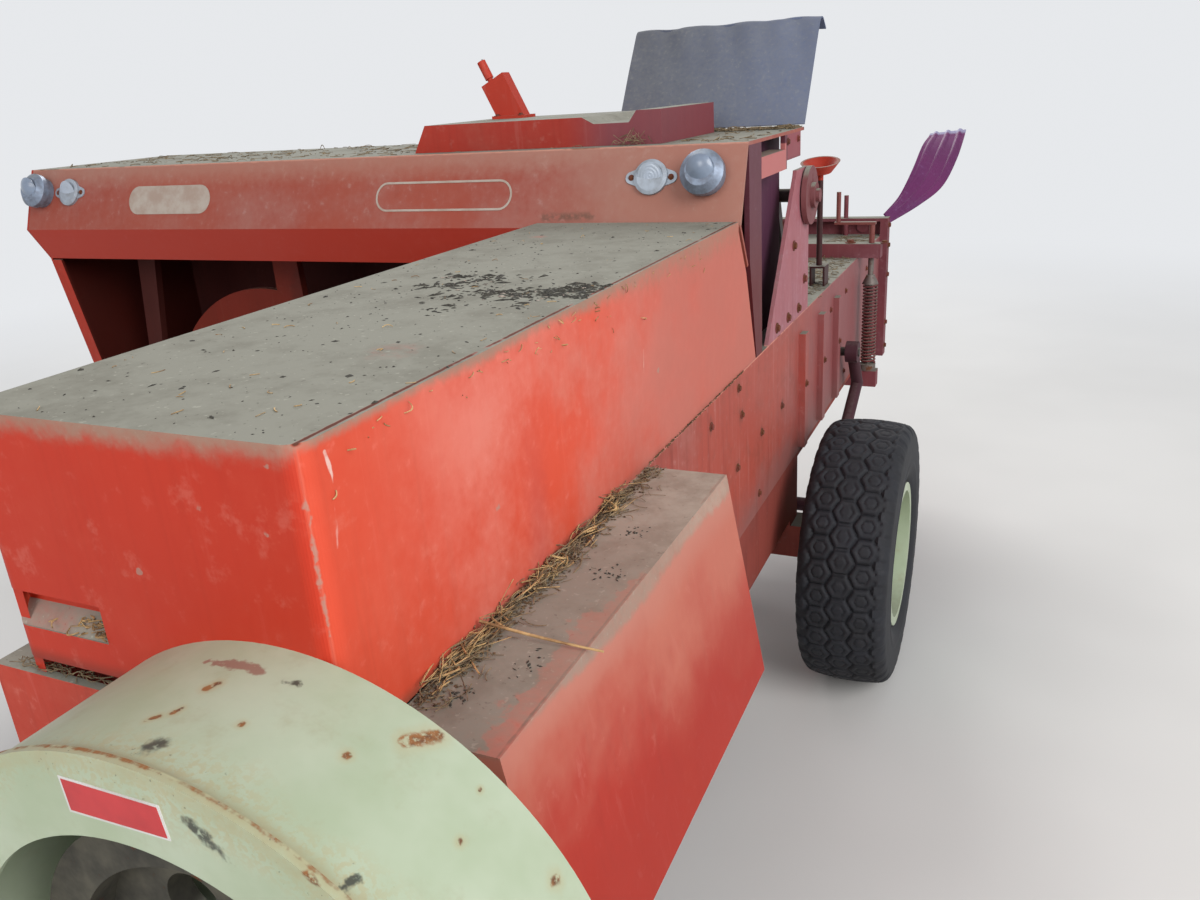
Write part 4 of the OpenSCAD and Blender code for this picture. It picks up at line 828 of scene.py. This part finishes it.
def tyre_surface(x_mid, out):
    """Profile points (across, radius) turned round the axle; the crown and shoulder carry the tread."""
    tyre_r, half_crown, bowed, bend = axle_z, 0.082, 0.006, 0.036
    crown = np.linspace(-half_crown, half_crown, 55)
    bow = tyre_r - bowed * (crown / half_crown) ** 2
    turn_in = np.linspace(0, np.pi / 2, 10)[1:]
    shoulder = np.stack([half_crown + bend * np.sin(turn_in), tyre_r - bowed - bend * (1 - np.cos(turn_in))], -1)
    wall = np.array([
        [0.1180, 0.325], [0.1195, 0.305], [0.1198, 0.290], [0.1190, 0.275], [0.1183, 0.268], [0.1198, 0.264],
        [0.1198, 0.256], [0.1182, 0.252], [0.115, 0.235], [0.106, 0.218], [0.098, 0.212], [0.098, 0.1975]])
    half = np.concatenate([shoulder, wall])
    left = half[::-1] * [-1, 1]
    profile = np.concatenate([left, np.stack([crown, bow], -1), half])
    steps, cells = 540, 36
    angle = circle(steps)
    across, radius = profile.T
    cell = 2 * np.pi * tyre_r / cells
    a, x = np.meshgrid(angle * tyre_r, across, indexing="ij")
    edge = honeycomb(a, x, cell)
    wall_up = np.clip(edge / 0.10, 0, 1)
    block = wall_up ** 2 * (3 - 2 * wall_up)
    sipe = 1 - 0.45 * np.exp(-((edge - 0.27) / 0.03) ** 2)
    on_crown = np.clip((0.100 - np.abs(x)) / 0.012, 0, 1)
    lug = (np.cos(angle[:, None] * cells + (x > 0) * np.pi) > -0.1) * np.clip((np.abs(x) - 0.086) / 0.01, 0, 1)
    lug = lug * (radius[None] > 0.34)
    groove = 0.0085 * (1 - block * sipe) * on_crown + 0.005 * (1 - on_crown) * (radius > 0.335)
    r = radius[None] - groove * (1 - lug)
    r = r + 0.0012 * np.sin(angle[:, None] * 120) * np.exp(-((radius - 0.29) / 0.012) ** 2)
    points = np.stack([x_mid + out * x, axle_y + r * np.sin(angle)[:, None], axle_z + r * np.cos(angle)[:, None]], -1)
    return points.reshape(-1, 3), grid_faces(steps, len(profile), True, True)


for out, side in wheels:
    tyre = outward(add(f"{side}_tread", *tyre_surface(out * 1.18, out), f"{side}_wheel", tyre_rubber, 50, "tyre"))
    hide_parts(f"{side}_tyre")
print("tyre points", len(tyre.data.vertices))

# %% [markdown]
# ## Bolts
# Hexagon heads on round washers hold the sheets and castings. One head is made once and copied to
# each row of a table: where it sits, which way it points, how wide it is and which body it rides on.

# %% Bolts
def bolt_head():
    """A hexagon prism with a chamfered top on a washer, one unit wide, along Z."""
    angle = circle(24)
    hexagon = 0.5 * math.cos(math.pi / 6) / np.cos((angle + math.pi / 6) % (math.pi / 3) - math.pi / 6)
    radii = [np.full(24, 0.78), np.full(24, 0.78), hexagon, hexagon, hexagon * 0.86, hexagon * 0.0]
    heights = [-0.02, 0.12, 0.12, 0.42, 0.48, 0.48]
    points = np.stack([np.stack([r * np.cos(angle), r * np.sin(angle), np.full(24, h)], -1)
                       for r, h in zip(radii, heights)])
    return points.reshape(-1, 3), grid_faces(len(radii), 24, round_columns=True)


head_points, head_faces = bolt_head()
bolts = {}


def bolt(body, places, axis=(1, 0, 0), width=0.016):
    """Notes bolts of a body; all are made together at the end."""
    bolts.setdefault(body, []).extend((*place, *axis, width) for place in places)


def around(n, radius, a, b, start=0.0):
    """Pairs of numbers evenly round the centre (a, b): a + radius * cos(t), b + radius * sin(t)."""
    t = np.radians(start + np.arange(n) * 360 / n)
    return np.stack([a + radius * np.cos(t), b + radius * np.sin(t)], -1)


up = (0, 0, 1)
gusset_bolts = ((0.582, 1.265), (0.71, 1.153), (0.40, 1.085), (0.52, 1.085), (0.64, 1.085))
# Gusset plate and the plate above it, the rusty heads along the chamber's side, its ribs and rear post
bolt("chassis", [(left_face, y, z) for y, z in gusset_bolts], width=0.018)
bolt("chassis", [(left_face, y, 1.535) for y in (0.51, 0.62)], width=0.012)
bolt("chassis", [(left_face, y, z) for y, z in side_bolts], width=0.013)
bolt("chassis", [(0.998, y, 0.858) for y in (0.673, 0.93, 1.17)], width=0.014)
bolt("chassis", [(1.01, 2.12, z) for z in (0.60, 0.70, 0.90, 1.02, 1.10)], width=0.018)
# Lever bracket, the gearbox's split flange, density beams and the twine box's lid
bolt("chassis", [(x, 0.474, 1.634) for x in (0.178, 0.252)], up, 0.012)
bolt("chassis", [(x, y, 0.852) for y in np.linspace(-1.25, -0.90, 6) for x in (0.796, 1.012)], up)
bolt("chassis", [(x, 1.6, 1.11) for x in (0.52, 0.95)], up, 0.024)
bolt("chassis", [(x, 1.6, 1.11) for x in (0.40, 1.07)], up, 0.020)
bolt("lid", [(x, 0.80, 1.106) for x in (-0.20, 0.05, 0.30)], up, 0.010)
# Wheel nuts and hub bolts, the flywheel's hub and the pickup's side plate
for out, side in wheels:
    for x, radius, width in ((1.21, 0.094, 0.024), (1.25, 0.048, 0.009)):
        bolt(f"{side}_wheel", [(out * x, y, z) for y, z in around(6, radius, axle_y, axle_z, 30)], (out, 0, 0), width)
bolt("flywheel_rotor", [(x, -1.535, z) for x, z in around(8, 0.05, guard_x, guard_z)], (0, -1, 0), 0.012)
bolt("pickup", [(0.44, y, z) for y, z in around(5, 0.045, reel_y, reel_z, 18)], width=0.012)

# %% [markdown]
# ## Hub caps, lenses and plates
# A hub cap is a dome turned round the axle. A lens is a shallow dome with rings, turned round the
# normal of the housing's slanted face. The plates are blank.

# %% Caps, lenses, plates
def dome(radius, rise, rings=0):
    """Profile of a dome: height = rise * (1 - (r / radius)^2), with fine concentric rings on it."""
    r = np.linspace(radius, 0, rings * 8 or 18)
    h = rise * (1 - (r / radius) ** 2) + 0.00025 * np.cos(2 * np.pi * rings * r / radius) * (rings > 0)
    return np.concatenate([[[-0.001, 0.0], [-0.001, radius]], np.stack([h, r], -1)])


for out, side in wheels:
    cap = revolve(dome(0.040, 0.020), (out * 1.25, axle_y, axle_z), (out, 0, 0), 40)
    outward(add(f"hub_cap_{side}", *cap, f"{side}_wheel", cream_rim, 40, "cream_paint"))

lip_fold, lip_top = np.array([0.076, 1.387]), np.array([0.143, housing_top])
lip_dir = unit(lip_top - lip_fold)
lip_out = np.array([0, -lip_dir[1], lip_dir[0]])


def on_lip(x, z, out=0.0):
    """Point of the housing's slanted face at x and z, moved outwards."""
    y = lip_fold[0] + (z - lip_fold[1]) * lip_dir[0] / lip_dir[1]
    return np.array([x, y, z]) + out * lip_out


lamp_lo, lamp_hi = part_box("lamps")
mirror_lo, mirror_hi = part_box("reflectors")
lamp_z, ear = 1.492, 0.048
for i, x in enumerate((lamp_lo[0] + 0.050, lamp_hi[0] - 0.050)):
    lens = revolve(dome(0.0335, 0.013), on_lip(x, lamp_z, 0.0522), lip_out, 56)
    outward(add(f"lamp_lens_{i}", *lens, "chassis", lamp_lens, 60, "lamp"))
for i, x in enumerate((mirror_lo[0] + 0.062, mirror_hi[0] - 0.062)):
    lens = revolve(dome(0.0315, 0.002, 4), on_lip(x, lamp_z, 0.0112), lip_out, 56)
    outward(add(f"reflector_lens_{i}", *lens, "chassis", pale_lens, 60, "reflector"))
    bolt("chassis", [on_lip(x + off, lamp_z, 0.003) for off in (-ear, ear)], lip_out, 0.009)


def outline_plate(name, outline, place, material, thick=0.0012, hole=None, slot=None):
    """A thin plate: an outline of (u, v) is set on a face by place(u, v, out); with a hole it is a frame."""
    outline = np.asarray(outline, float)
    n, centre = len(outline), outline.mean(0)
    inner = centre + (outline - centre) * 1e-3 if hole is None else np.asarray(hole, float)
    rings = [(inner, -0.0002), (outline, -0.0002), (outline, thick), (inner, thick)]
    points = [[place(u, v, out) for u, v in ring] for ring, out in rings]
    i, k = np.arange(4)[:, None], np.arange(n)[None]
    at = lambda a, c: (a % 4) * n + c % n
    faces = np.stack([at(i, k), at(i + 1, k), at(i + 1, k + 1), at(i, k + 1)], -1).reshape(-1, 4)
    return outward(add(name, points, faces, "chassis", material, 30, slot))


def pill(x0, x1, z0, z1, inset=0.0):
    """Outline of a bar with round ends, inset by a margin."""
    half, z = (z1 - z0) / 2, (z0 + z1) / 2
    a, r = np.linspace(-np.pi / 2, np.pi / 2, 14), half - inset
    right_end = np.stack([x1 - half + r * np.cos(a), z + r * np.sin(a)], -1)
    left_end = np.stack([x0 + half - r * np.cos(a), z - r * np.sin(a)], -1)
    return np.concatenate([right_end, left_end])


left_plate = (0.009, 0.407, 1.427, 1.497)
outline_plate("plate_right", pill(-0.871, -0.558, 1.428, 1.504), on_lip, pale_plate, slot="cream_paint")
outline_plate("plate_left_rim", pill(*left_plate), on_lip, pale_plate, hole=pill(*left_plate, 0.005),
              slot="cream_paint")


def on_ring(x, z, out):
    """Point of the guard's front ring."""
    return np.array([x, -1.565 - out, z])


corners = np.array([[0.831, 1.111], [0.955, 1.116], [0.951, 1.152], [0.829, 1.150]])
field = corners.mean(0) + (corners - corners.mean(0)) * [0.95, 0.86]
outline_plate("guard_plate_border", corners, on_ring, white_plate, 0.0006, slot="reflector")
outline_plate("guard_plate", field, on_ring, red_plate, 0.0010, slot="red_paint")

# %% [markdown]
# ## Knotter hood and guide sheet
# Both are thin sheets that have lost their flatness. Each is made as a grid over its own two
# directions, with a second layer behind it and a rim between them. The hood's sheet hangs on the
# hinge and waves a little more the farther it is from it. The guide sheet is a smooth curve
# through the five rows of the solid, with rounded ribs.

# %% Sheets
def shell(top, thickness):
    """Closes a grid of points (rows, columns, 3) into a sheet: a second grid lies behind it."""
    low = top - unit(np.cross(np.gradient(top, axis=0), np.gradient(top, axis=1))) * thickness
    rows, columns = top.shape[:2]
    n = rows * columns
    front = grid_faces(rows, columns)
    edge = np.concatenate([np.arange(columns), columns - 1 + columns * np.arange(1, rows),
                           n - 2 - np.arange(columns - 1), columns * np.arange(rows - 2, 0, -1)])
    after = np.roll(edge, -1)
    rim = np.stack([edge, edge + n, after + n, after], -1)
    return np.concatenate([top.reshape(-1, 3), low.reshape(-1, 3)]), np.concatenate([front, front[:, ::-1] + n, rim])


bend = 0.0325
run = np.concatenate([np.stack([np.linspace(0.008, 0.318, 40), np.zeros(40)], -1),
                      [[0.320 + bend * math.sin(a), bend * (math.cos(a) - 1)]
                       for a in np.linspace(0.1, np.pi / 2, 12)],
                      np.stack([np.full(6, 0.3525), np.linspace(-0.040, -0.072, 6)], -1)])
x = np.linspace(0.4405, 0.9795, 90)
reach, rise = run[:, :1], run[:, 1:]
far = np.clip(reach / 0.33, 0, 1) ** 2
wave = far * (0.0035 * np.sin(x * 31 + 1.2) + 0.0022 * np.sin(x * 67 + reach * 20))
dent = 0.004 * np.exp(-((x - 0.62) ** 2 + (reach - 0.18) ** 2) / 0.004)
d = reach + far * 0.0025 * (np.sin(x * 43) - 1)
h = rise + 0.002 - far * 0.0037 + wave * (reach < 0.34) - dent
tilt = math.radians(56)
hood_grid = np.stack([np.broadcast_to(x, d.shape), 0.6973 + d * math.cos(tilt) - h * math.sin(tilt),
                      1.558 + d * math.sin(tilt) + h * math.cos(tilt)], -1)
hood_sheet = outward(add("knotter_hood_sheet", *shell(hood_grid, 0.0035), "hood", paint_sheet, 40, "red_paint"))
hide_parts("knotter_hood")


def smooth_rows(rows, steps):
    """Catmull-Rom curve through the rows: a cubic for each stretch, its slopes half the neighbours' difference."""
    rows = np.asarray(rows, float)
    padded = np.concatenate([[2 * rows[0] - rows[1]], rows, [2 * rows[-1] - rows[-2]]])
    t = np.linspace(0, 1, steps, endpoint=False)[:, None]
    parts = [b + 0.5 * ((c - a) * t + (2 * a - 5 * b + 4 * c - e) * t ** 2 + (3 * b - a - 3 * c + e) * t ** 3)
             for a, b, c, e in zip(padded, padded[1:], padded[2:], padded[3:])]
    return np.concatenate(parts + [rows[-1:]])


guide_rows = np.array([[0.002, 0.078, 0.028, 0.042, 0.0], [0.043, 0.131, 0.127, 0.097, 0.125],
                       [0.077, 0.226, 0.202, 0.157, 0.250], [0.094, 0.308, 0.240, 0.252, 0.410],
                       [0.106, 0.340, 0.256, 0.352, 0.600]])
guide = smooth_rows(guide_rows, 14)
f = np.linspace(0, 1, 61)
x_in, z_in, x_out, z_out, y_row = (guide[:, i:i + 1] for i in range(5))
width = np.linspace(0.15, 1, len(guide))[:, None]
rib = 0.0075 * width * np.clip(np.cos(2 * np.pi * (3 * f - 0.5)), 0, 1) ** 2
roll = 0.006 * np.exp(-((y_row - 0.6) / 0.02) ** 2)
guide_grid = np.stack([left_face + x_in + f * (x_out - x_in), 2.15 + y_row + 0 * f,
                       chamber_top + z_in + f * (z_out - z_in) + rib + roll], -1)
guide_sheet = outward(add("guide_sheet", *shell(guide_grid, 0.005), "chassis", paint_maroon, 40, "maroon_paint"))
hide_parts("bale_guide")
print("sheets", len(hood_sheet.data.polygons), len(guide_sheet.data.polygons))

# %% [markdown]
# ## Grip and tine coils
# The hand lever ends in a ribbed rubber grip. Each spring tine of the pickup is wound round its bar
# in two loops before it leaves, and all the loops are copies of one small ring.

# %% Grip and coils
lean = math.radians(-26)
lever_dir = np.array([math.sin(lean), 0, math.cos(lean)])
lever_foot = np.array([0.2024, 0.5, 1.6242])
grip_start, grip_end, rib_step = 0.107, 0.1615, 0.0055
t = np.linspace(grip_start, grip_end, 80)
ribs = np.stack([t, 0.0135 + 0.0012 * np.cos((t - grip_start) * 2 * np.pi / rib_step)], -1)
grip = np.concatenate([[[grip_start, 0.0]], ribs, [[0.1635, 0.010], [0.164, 0.0]]])
outward(add("lever_grip", *revolve(grip, lever_foot, lever_dir, 32), "chassis", grip_rubber, 60, "tyre"))


def ring(radius, wire, around=14, sides=6):
    """A small torus round X: x = wire*sin(b), distance = radius + wire*cos(b)."""
    a, b = circle(around)[:, None], circle(sides)[None]
    q = radius + wire * np.cos(b)
    points = np.stack([wire * np.sin(b) + 0 * a, q * np.cos(a), q * np.sin(a)], -1)
    return points.reshape(-1, 3), grid_faces(around, sides, True, True)


band_lo, band_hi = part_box("pickup_bands")
tines, bar_radius = 21, 0.11
gap = (band_hi[0] - band_lo[0] - 0.036) / tines
tine_x = band_lo[0] + 0.018 + gap * (np.arange(tines) + 0.5)
places = [(x + off, reel_y - bar_radius * math.sin(a), reel_z + bar_radius * math.cos(a))
          for a in np.radians(np.arange(4) * 90) for x in tine_x for off in (-0.006, 0.006)]
outward(add("tine_coils", *copies(*ring(0.0175, 0.0035), places), "reel", dark_steel, 60, "bare_steel"))

# The density springs get close coils of their own: a helix round each screw
spring_lo, spring_hi = (np.array(v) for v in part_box("density_springs"))
wire, windings = 0.0040, 24
coil_y, coil_r = (spring_lo[1] + spring_hi[1]) / 2, (spring_hi[1] - spring_lo[1]) / 2 - wire
angle = np.linspace(0, windings * 2 * np.pi, windings * 20 + 1)
rise = np.linspace(spring_lo[2] + wire, spring_hi[2] - wire, len(angle))
parts = [tube(np.stack([x + coil_r * np.cos(angle), coil_y + coil_r * np.sin(angle), rise], -1), wire, 8)
         for x in (spring_lo[0] + coil_r + wire, spring_hi[0] - coil_r - wire)]
coils = outward(add("spring_coils", *join(parts), "chassis", paint_spring, 60, "red_paint"))
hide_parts("density_springs")
print("coils", round(coil_r, 4), spring_lo.round(3), spring_hi.round(3))

# %% [markdown]
# ## Straw and crumbs
# Straw has gathered where the hood meets the side guard, on the ledge in front and along the
# covers. One straw is a thin tube with a slight bend. Crumbs are small eight-sided lumps. Both are
# copied by the hundred from a seeded generator, so that each run gives the same mess.

# %% Straw
def stalk(bend, sides=5, rings=7):
    """A straw one unit long along Z, bent sideways by bend * (t - t^2) thicknesses."""
    t = np.linspace(0, 1, rings)
    b = circle(sides)
    points = np.stack([np.cos(b)[None] + bend * 60 * (t - t * t)[:, None], np.sin(b)[None] + 0 * t[:, None],
                       (t - 0.5)[:, None] + 0 * b[None]], -1)
    return points.reshape(-1, 3), grid_faces(rings, sides, round_columns=True)


def draw(n, rule):
    """n numbers by a rule: a pair draws evenly between the two, a function of n draws, others stay as they are."""
    if callable(rule):
        return rule(n)
    return chance.uniform(*rule, n) if isinstance(rule, tuple) else np.broadcast_to(rule, n)


def spread(n, *rules):
    """n places, whose x, y and z each follow a rule."""
    return np.column_stack([draw(n, rule) for rule in rules])


def round_about(middle, wide):
    """Rule for numbers round a middle."""
    return lambda n: chance.normal(middle, wide, n)


def beside(start, wide):
    """Rule for numbers from a start upwards, fewer the farther they are."""
    return lambda n: start + np.abs(chance.normal(0, wide, n))


def tail(start, shape, scale):
    """Rule for numbers that leave a start with a long tail."""
    return lambda n: start + scale * chance.standard_gamma(shape, n)


any_way, any_turn = (0, np.pi), (0, 2 * np.pi)


def scatter_straw(name, centres, heading, length, thick, material, pitch):
    """Straws at centres: heading (radians about Z), length and thickness are rules, and pitch spreads their rise."""
    n, bends = len(centres), (-0.5, -0.15, 0.1, 0.4)
    heading, length, thick = (draw(n, rule) for rule in (heading, length, thick))
    rise = chance.normal(0, pitch, n)
    roll = frames(np.stack([np.cos(heading) * np.cos(rise), np.sin(heading) * np.cos(rise), np.sin(rise)], -1))
    spin = chance.normal(0, 0.5, n)
    cos, sin = np.cos(spin)[:, None], np.sin(spin)[:, None]
    u, v = roll[:, :, 0].copy(), roll[:, :, 1].copy()
    roll[:, :, 0], roll[:, :, 1] = cos * u + sin * v, cos * v - sin * u
    sizes = np.stack([thick, thick * 0.8, length], -1)
    parts = []
    for k, bend in enumerate(bends):
        mine = np.arange(n) % len(bends) == k
        parts.append(copies(*stalk(bend), centres[mine], roll[mine], sizes[mine]))
    add(name, *join(parts), "chassis", material, 60, "cream_paint")


def crumbs(name, centres, size, material, shape=(1, 0.8, 0.5), heading=any_turn):
    """Small eight-sided lumps; size and heading are rules, and shape gives their usual proportions."""
    points = np.array([[1, 0, 0], [0, 1, 0], [-1, 0, 0], [0, -1, 0], [0, 0, 1], [0, 0, -1.0]])
    faces = np.array([[0, 1, 4], [1, 2, 4], [2, 3, 4], [3, 0, 4], [1, 0, 5], [2, 1, 5], [3, 2, 5], [0, 3, 5]])
    n = len(centres)
    size, heading = draw(n, size), draw(n, heading)
    turns = np.zeros((n, 3, 3))
    turns[:, 0, 0], turns[:, 0, 1] = np.cos(heading), -np.sin(heading)
    turns[:, 1, 0], turns[:, 1, 1], turns[:, 2, 2] = np.sin(heading), np.cos(heading), 1
    sizes = chance.uniform(0.5, 1.4, (n, 3)) * size[:, None] * np.array(shape)
    add(name, *copies(points, faces, centres, turns, sizes), "chassis", material, 0, "cream_paint")


# Crease between the hood's side and the side guard: loose clumps of straw, pale and dark, thicker in front
clumps = np.sort(-1.25 + 0.64 * chance.beta(1.1, 1.4, 17))
heavy = chance.gamma(2.0, 1.0, len(clumps))
for name, n, finish in (("straw_crease", 200, straw_dry), ("straw_crease_dark", 210, straw_grey)):
    pick = chance.choice(len(clumps), n, p=heavy / heavy.sum())
    along = clumps[pick] + chance.normal(0, 0.020, n)
    out = np.abs(chance.normal(0, 1, n)) * (0.0045 + 0.0035 * np.minimum(heavy[pick], 2.5) * (along < -0.72))
    height = guard_top + 0.0032 + chance.uniform(0, 0.016, n) * np.exp(-out / 0.010)
    centres = np.stack([left_face + 0.0035 + out, along, height], -1)
    scatter_straw(name, centres, round_about(np.pi / 2, 0.42), tail(0.014, 2.0, 0.014), tail(0.0003, 3.0, 0.0002),
                  finish, 0.2)
n = 1500
along = -1.27 + 0.74 * chance.beta(1.2, 1.4, n)
crumbs("litter_crease", spread(n, beside(0.982, 0.014), along, guard_top + 0.0012), (0.001, 0.0034), litter)
scatter_straw("straw_under", spread(260, beside(0.984, 0.022), (-1.28, -0.53), (1.0595, 1.0625)), any_way,
              (0.008, 0.035), (0.0004, 0.0009), straw_grey, 0.05)
# Chaff and bits at the foot of the hood behind the guard, and on the guard's top
crumbs("litter_foot", spread(420, beside(0.981, 0.0015), (-0.52, 0.08), (1.0605, 1.0635)), (0.001, 0.0026), litter)
heaps = np.array([(1.075, -1.155, 0.03), (1.030, -1.235, 0.02), (1.060, -0.78, 0.02), (1.075, -0.92, 0.03)])
x, y, wide = heaps[chance.integers(0, len(heaps), 90)].T
centres = spread(90, x + chance.normal(0, 0.4, 90) * wide, y + chance.normal(0, 0.5, 90) * wide, guard_top + 0.0006)
crumbs("crumbs_guard", centres, (0.001, 0.004), crumb, (1, 0.5, 0.3))
start, end = np.array([[0.9865, -1.1150, 1.0800], [1.149, -1.106, 1.0625]])
t = np.linspace(0, 1, 14)[:, None]
path = start + t * (end - start) + [0, 0.003, 0] * np.sin(3 * t) + [0, 0, -0.004] * np.sin(np.pi * t)
long_straw = join([tube(path, np.linspace(0.0022, 0.0014, 14), 6)])
add("straw_long", *long_straw, "chassis", straw_dry, 60, "cream_paint")

# Hood's top: dark leaf bits in drifts, scattered crumbs and a few pale stalks
drifts = np.array([
    (0.688, -0.585), (0.738, -0.599), (0.707, -0.654), (0.657, -0.677), (0.823, -0.708), (0.875, -0.723),
    (0.905, -0.698), (0.924, -0.665), (0.945, -0.646), (0.935, -0.720), (0.886, -0.790), (0.751, -0.740),
    (0.787, -0.810), (0.802, -0.580), (0.795, -0.700)])
share = np.array([5, 8, 6, 4, 8, 9, 10, 10, 7, 8, 3, 3, 2, 2, 7.0])


def drifted(n, wide, height):
    """Places in the drifts, kept off the hood's edge."""
    pick = chance.choice(len(drifts), n, p=share / share.sum())
    x, y = (drifts[pick] + chance.normal(0, 1, (n, 2)) * wide).T
    return np.column_stack([np.minimum(x, 0.972), y, np.full(n, height)])


crumbs("crumbs_drift", drifted(640, [0.025, 0.018], hood_top + 0.0004), tail(0.001, 2.2, 0.0019), crumb,
       (1, 0.42, 0.22), round_about(0.2, 0.7))
crumbs("crumbs_pale", drifted(90, [0.035, 0.026], hood_top + 0.0006), tail(0.0006, 1.8, 0.0011), pale_plate,
       (1, 0.4, 0.25), round_about(0.2, 0.8))
crumbs("crumbs_hood", spread(560, (0.495, 0.974), (-1.36, 0.06), hood_top + 0.0002), tail(0.0005, 1.4, 0.0011), crumb,
       (1, 0.6, 0.3))
scatter_straw("straw_hood", spread(60, (0.51, 0.97), (-1.34, 0.04), hood_top + 0.0008), any_way, (0.006, 0.018),
              (0.0004, 0.0008), straw_dry, 0.02)
scatter_straw("straw_fold", spread(46, 0.9812, (-1.33, -0.15), tail(1.392, 1.5, -0.014)),
              round_about(np.pi / 2, 0.05), (0.004, 0.014), (0.0005, 0.0010), straw_dry, 0.5)

# A tuft on the housing, the finger pocket's ledge, the gap below the hood, then the housing's and chamber's tops
scatter_straw("straw_tuft", spread(26, round_about(0.695, 0.016), round_about(0.178, 0.012), (1.5625, 1.5845)),
              round_about(0.6, 0.5), (0.015, 0.05), (0.0006, 0.0012), straw_grey, 0.5)
centres = spread(40, lambda n: 0.65 - 0.12 * chance.beta(1, 3, n), (-1.362, -1.345), 0)
centres[:, 2] = 1.13 + (centres[:, 1] - hood_front) * 0.93
scatter_straw("straw_ledge", centres, round_about(0, 0.5), (0.008, 0.03), (0.0007, 0.0013), straw_dry, 0.05)
scatter_straw("straw_gap", spread(120, (0.45, 0.93), (-1.358, -1.345), (1.061, 1.067)), round_about(0, 0.3),
              (0.008, 0.03), (0.0005, 0.001), straw_grey, 0.05)
centres = np.concatenate([spread(420, (-1.25, 0.97), (0.17, 0.68), housing_top + 0.0015),
                          spread(420, (0.62, 0.97), (0.60, 0.685), (1.5615, 1.5655))])
x, y = centres[:, 0], centres[:, 1]
under_cover = (x > 0.06) & (x < 0.78) & (y > 0.18) & (y < 0.62)
scatter_straw("straw_housing", centres[~under_cover], any_way, (0.01, 0.05), (0.0007, 0.0015), straw_grey, 0.03)
scatter_straw("straw_chamber", spread(500, (0.80, 0.965), (0.80, 2.08), chamber_top + 0.0013), any_way, (0.01, 0.06),
              (0.0007, 0.0015), straw_grey, 0.03)
print("straw made")

# %% Bolts on every body
for body, rows in bolts.items():
    rows = np.array(rows)
    heads = copies(head_points, head_faces, rows[:, :3], frames(rows[:, 3:6]), np.repeat(rows[:, 6:7], 3, axis=1))
    add(f"bolts_{body}", *heads, body, rusty if body == "chassis" else zinc, 35, "bare_steel")
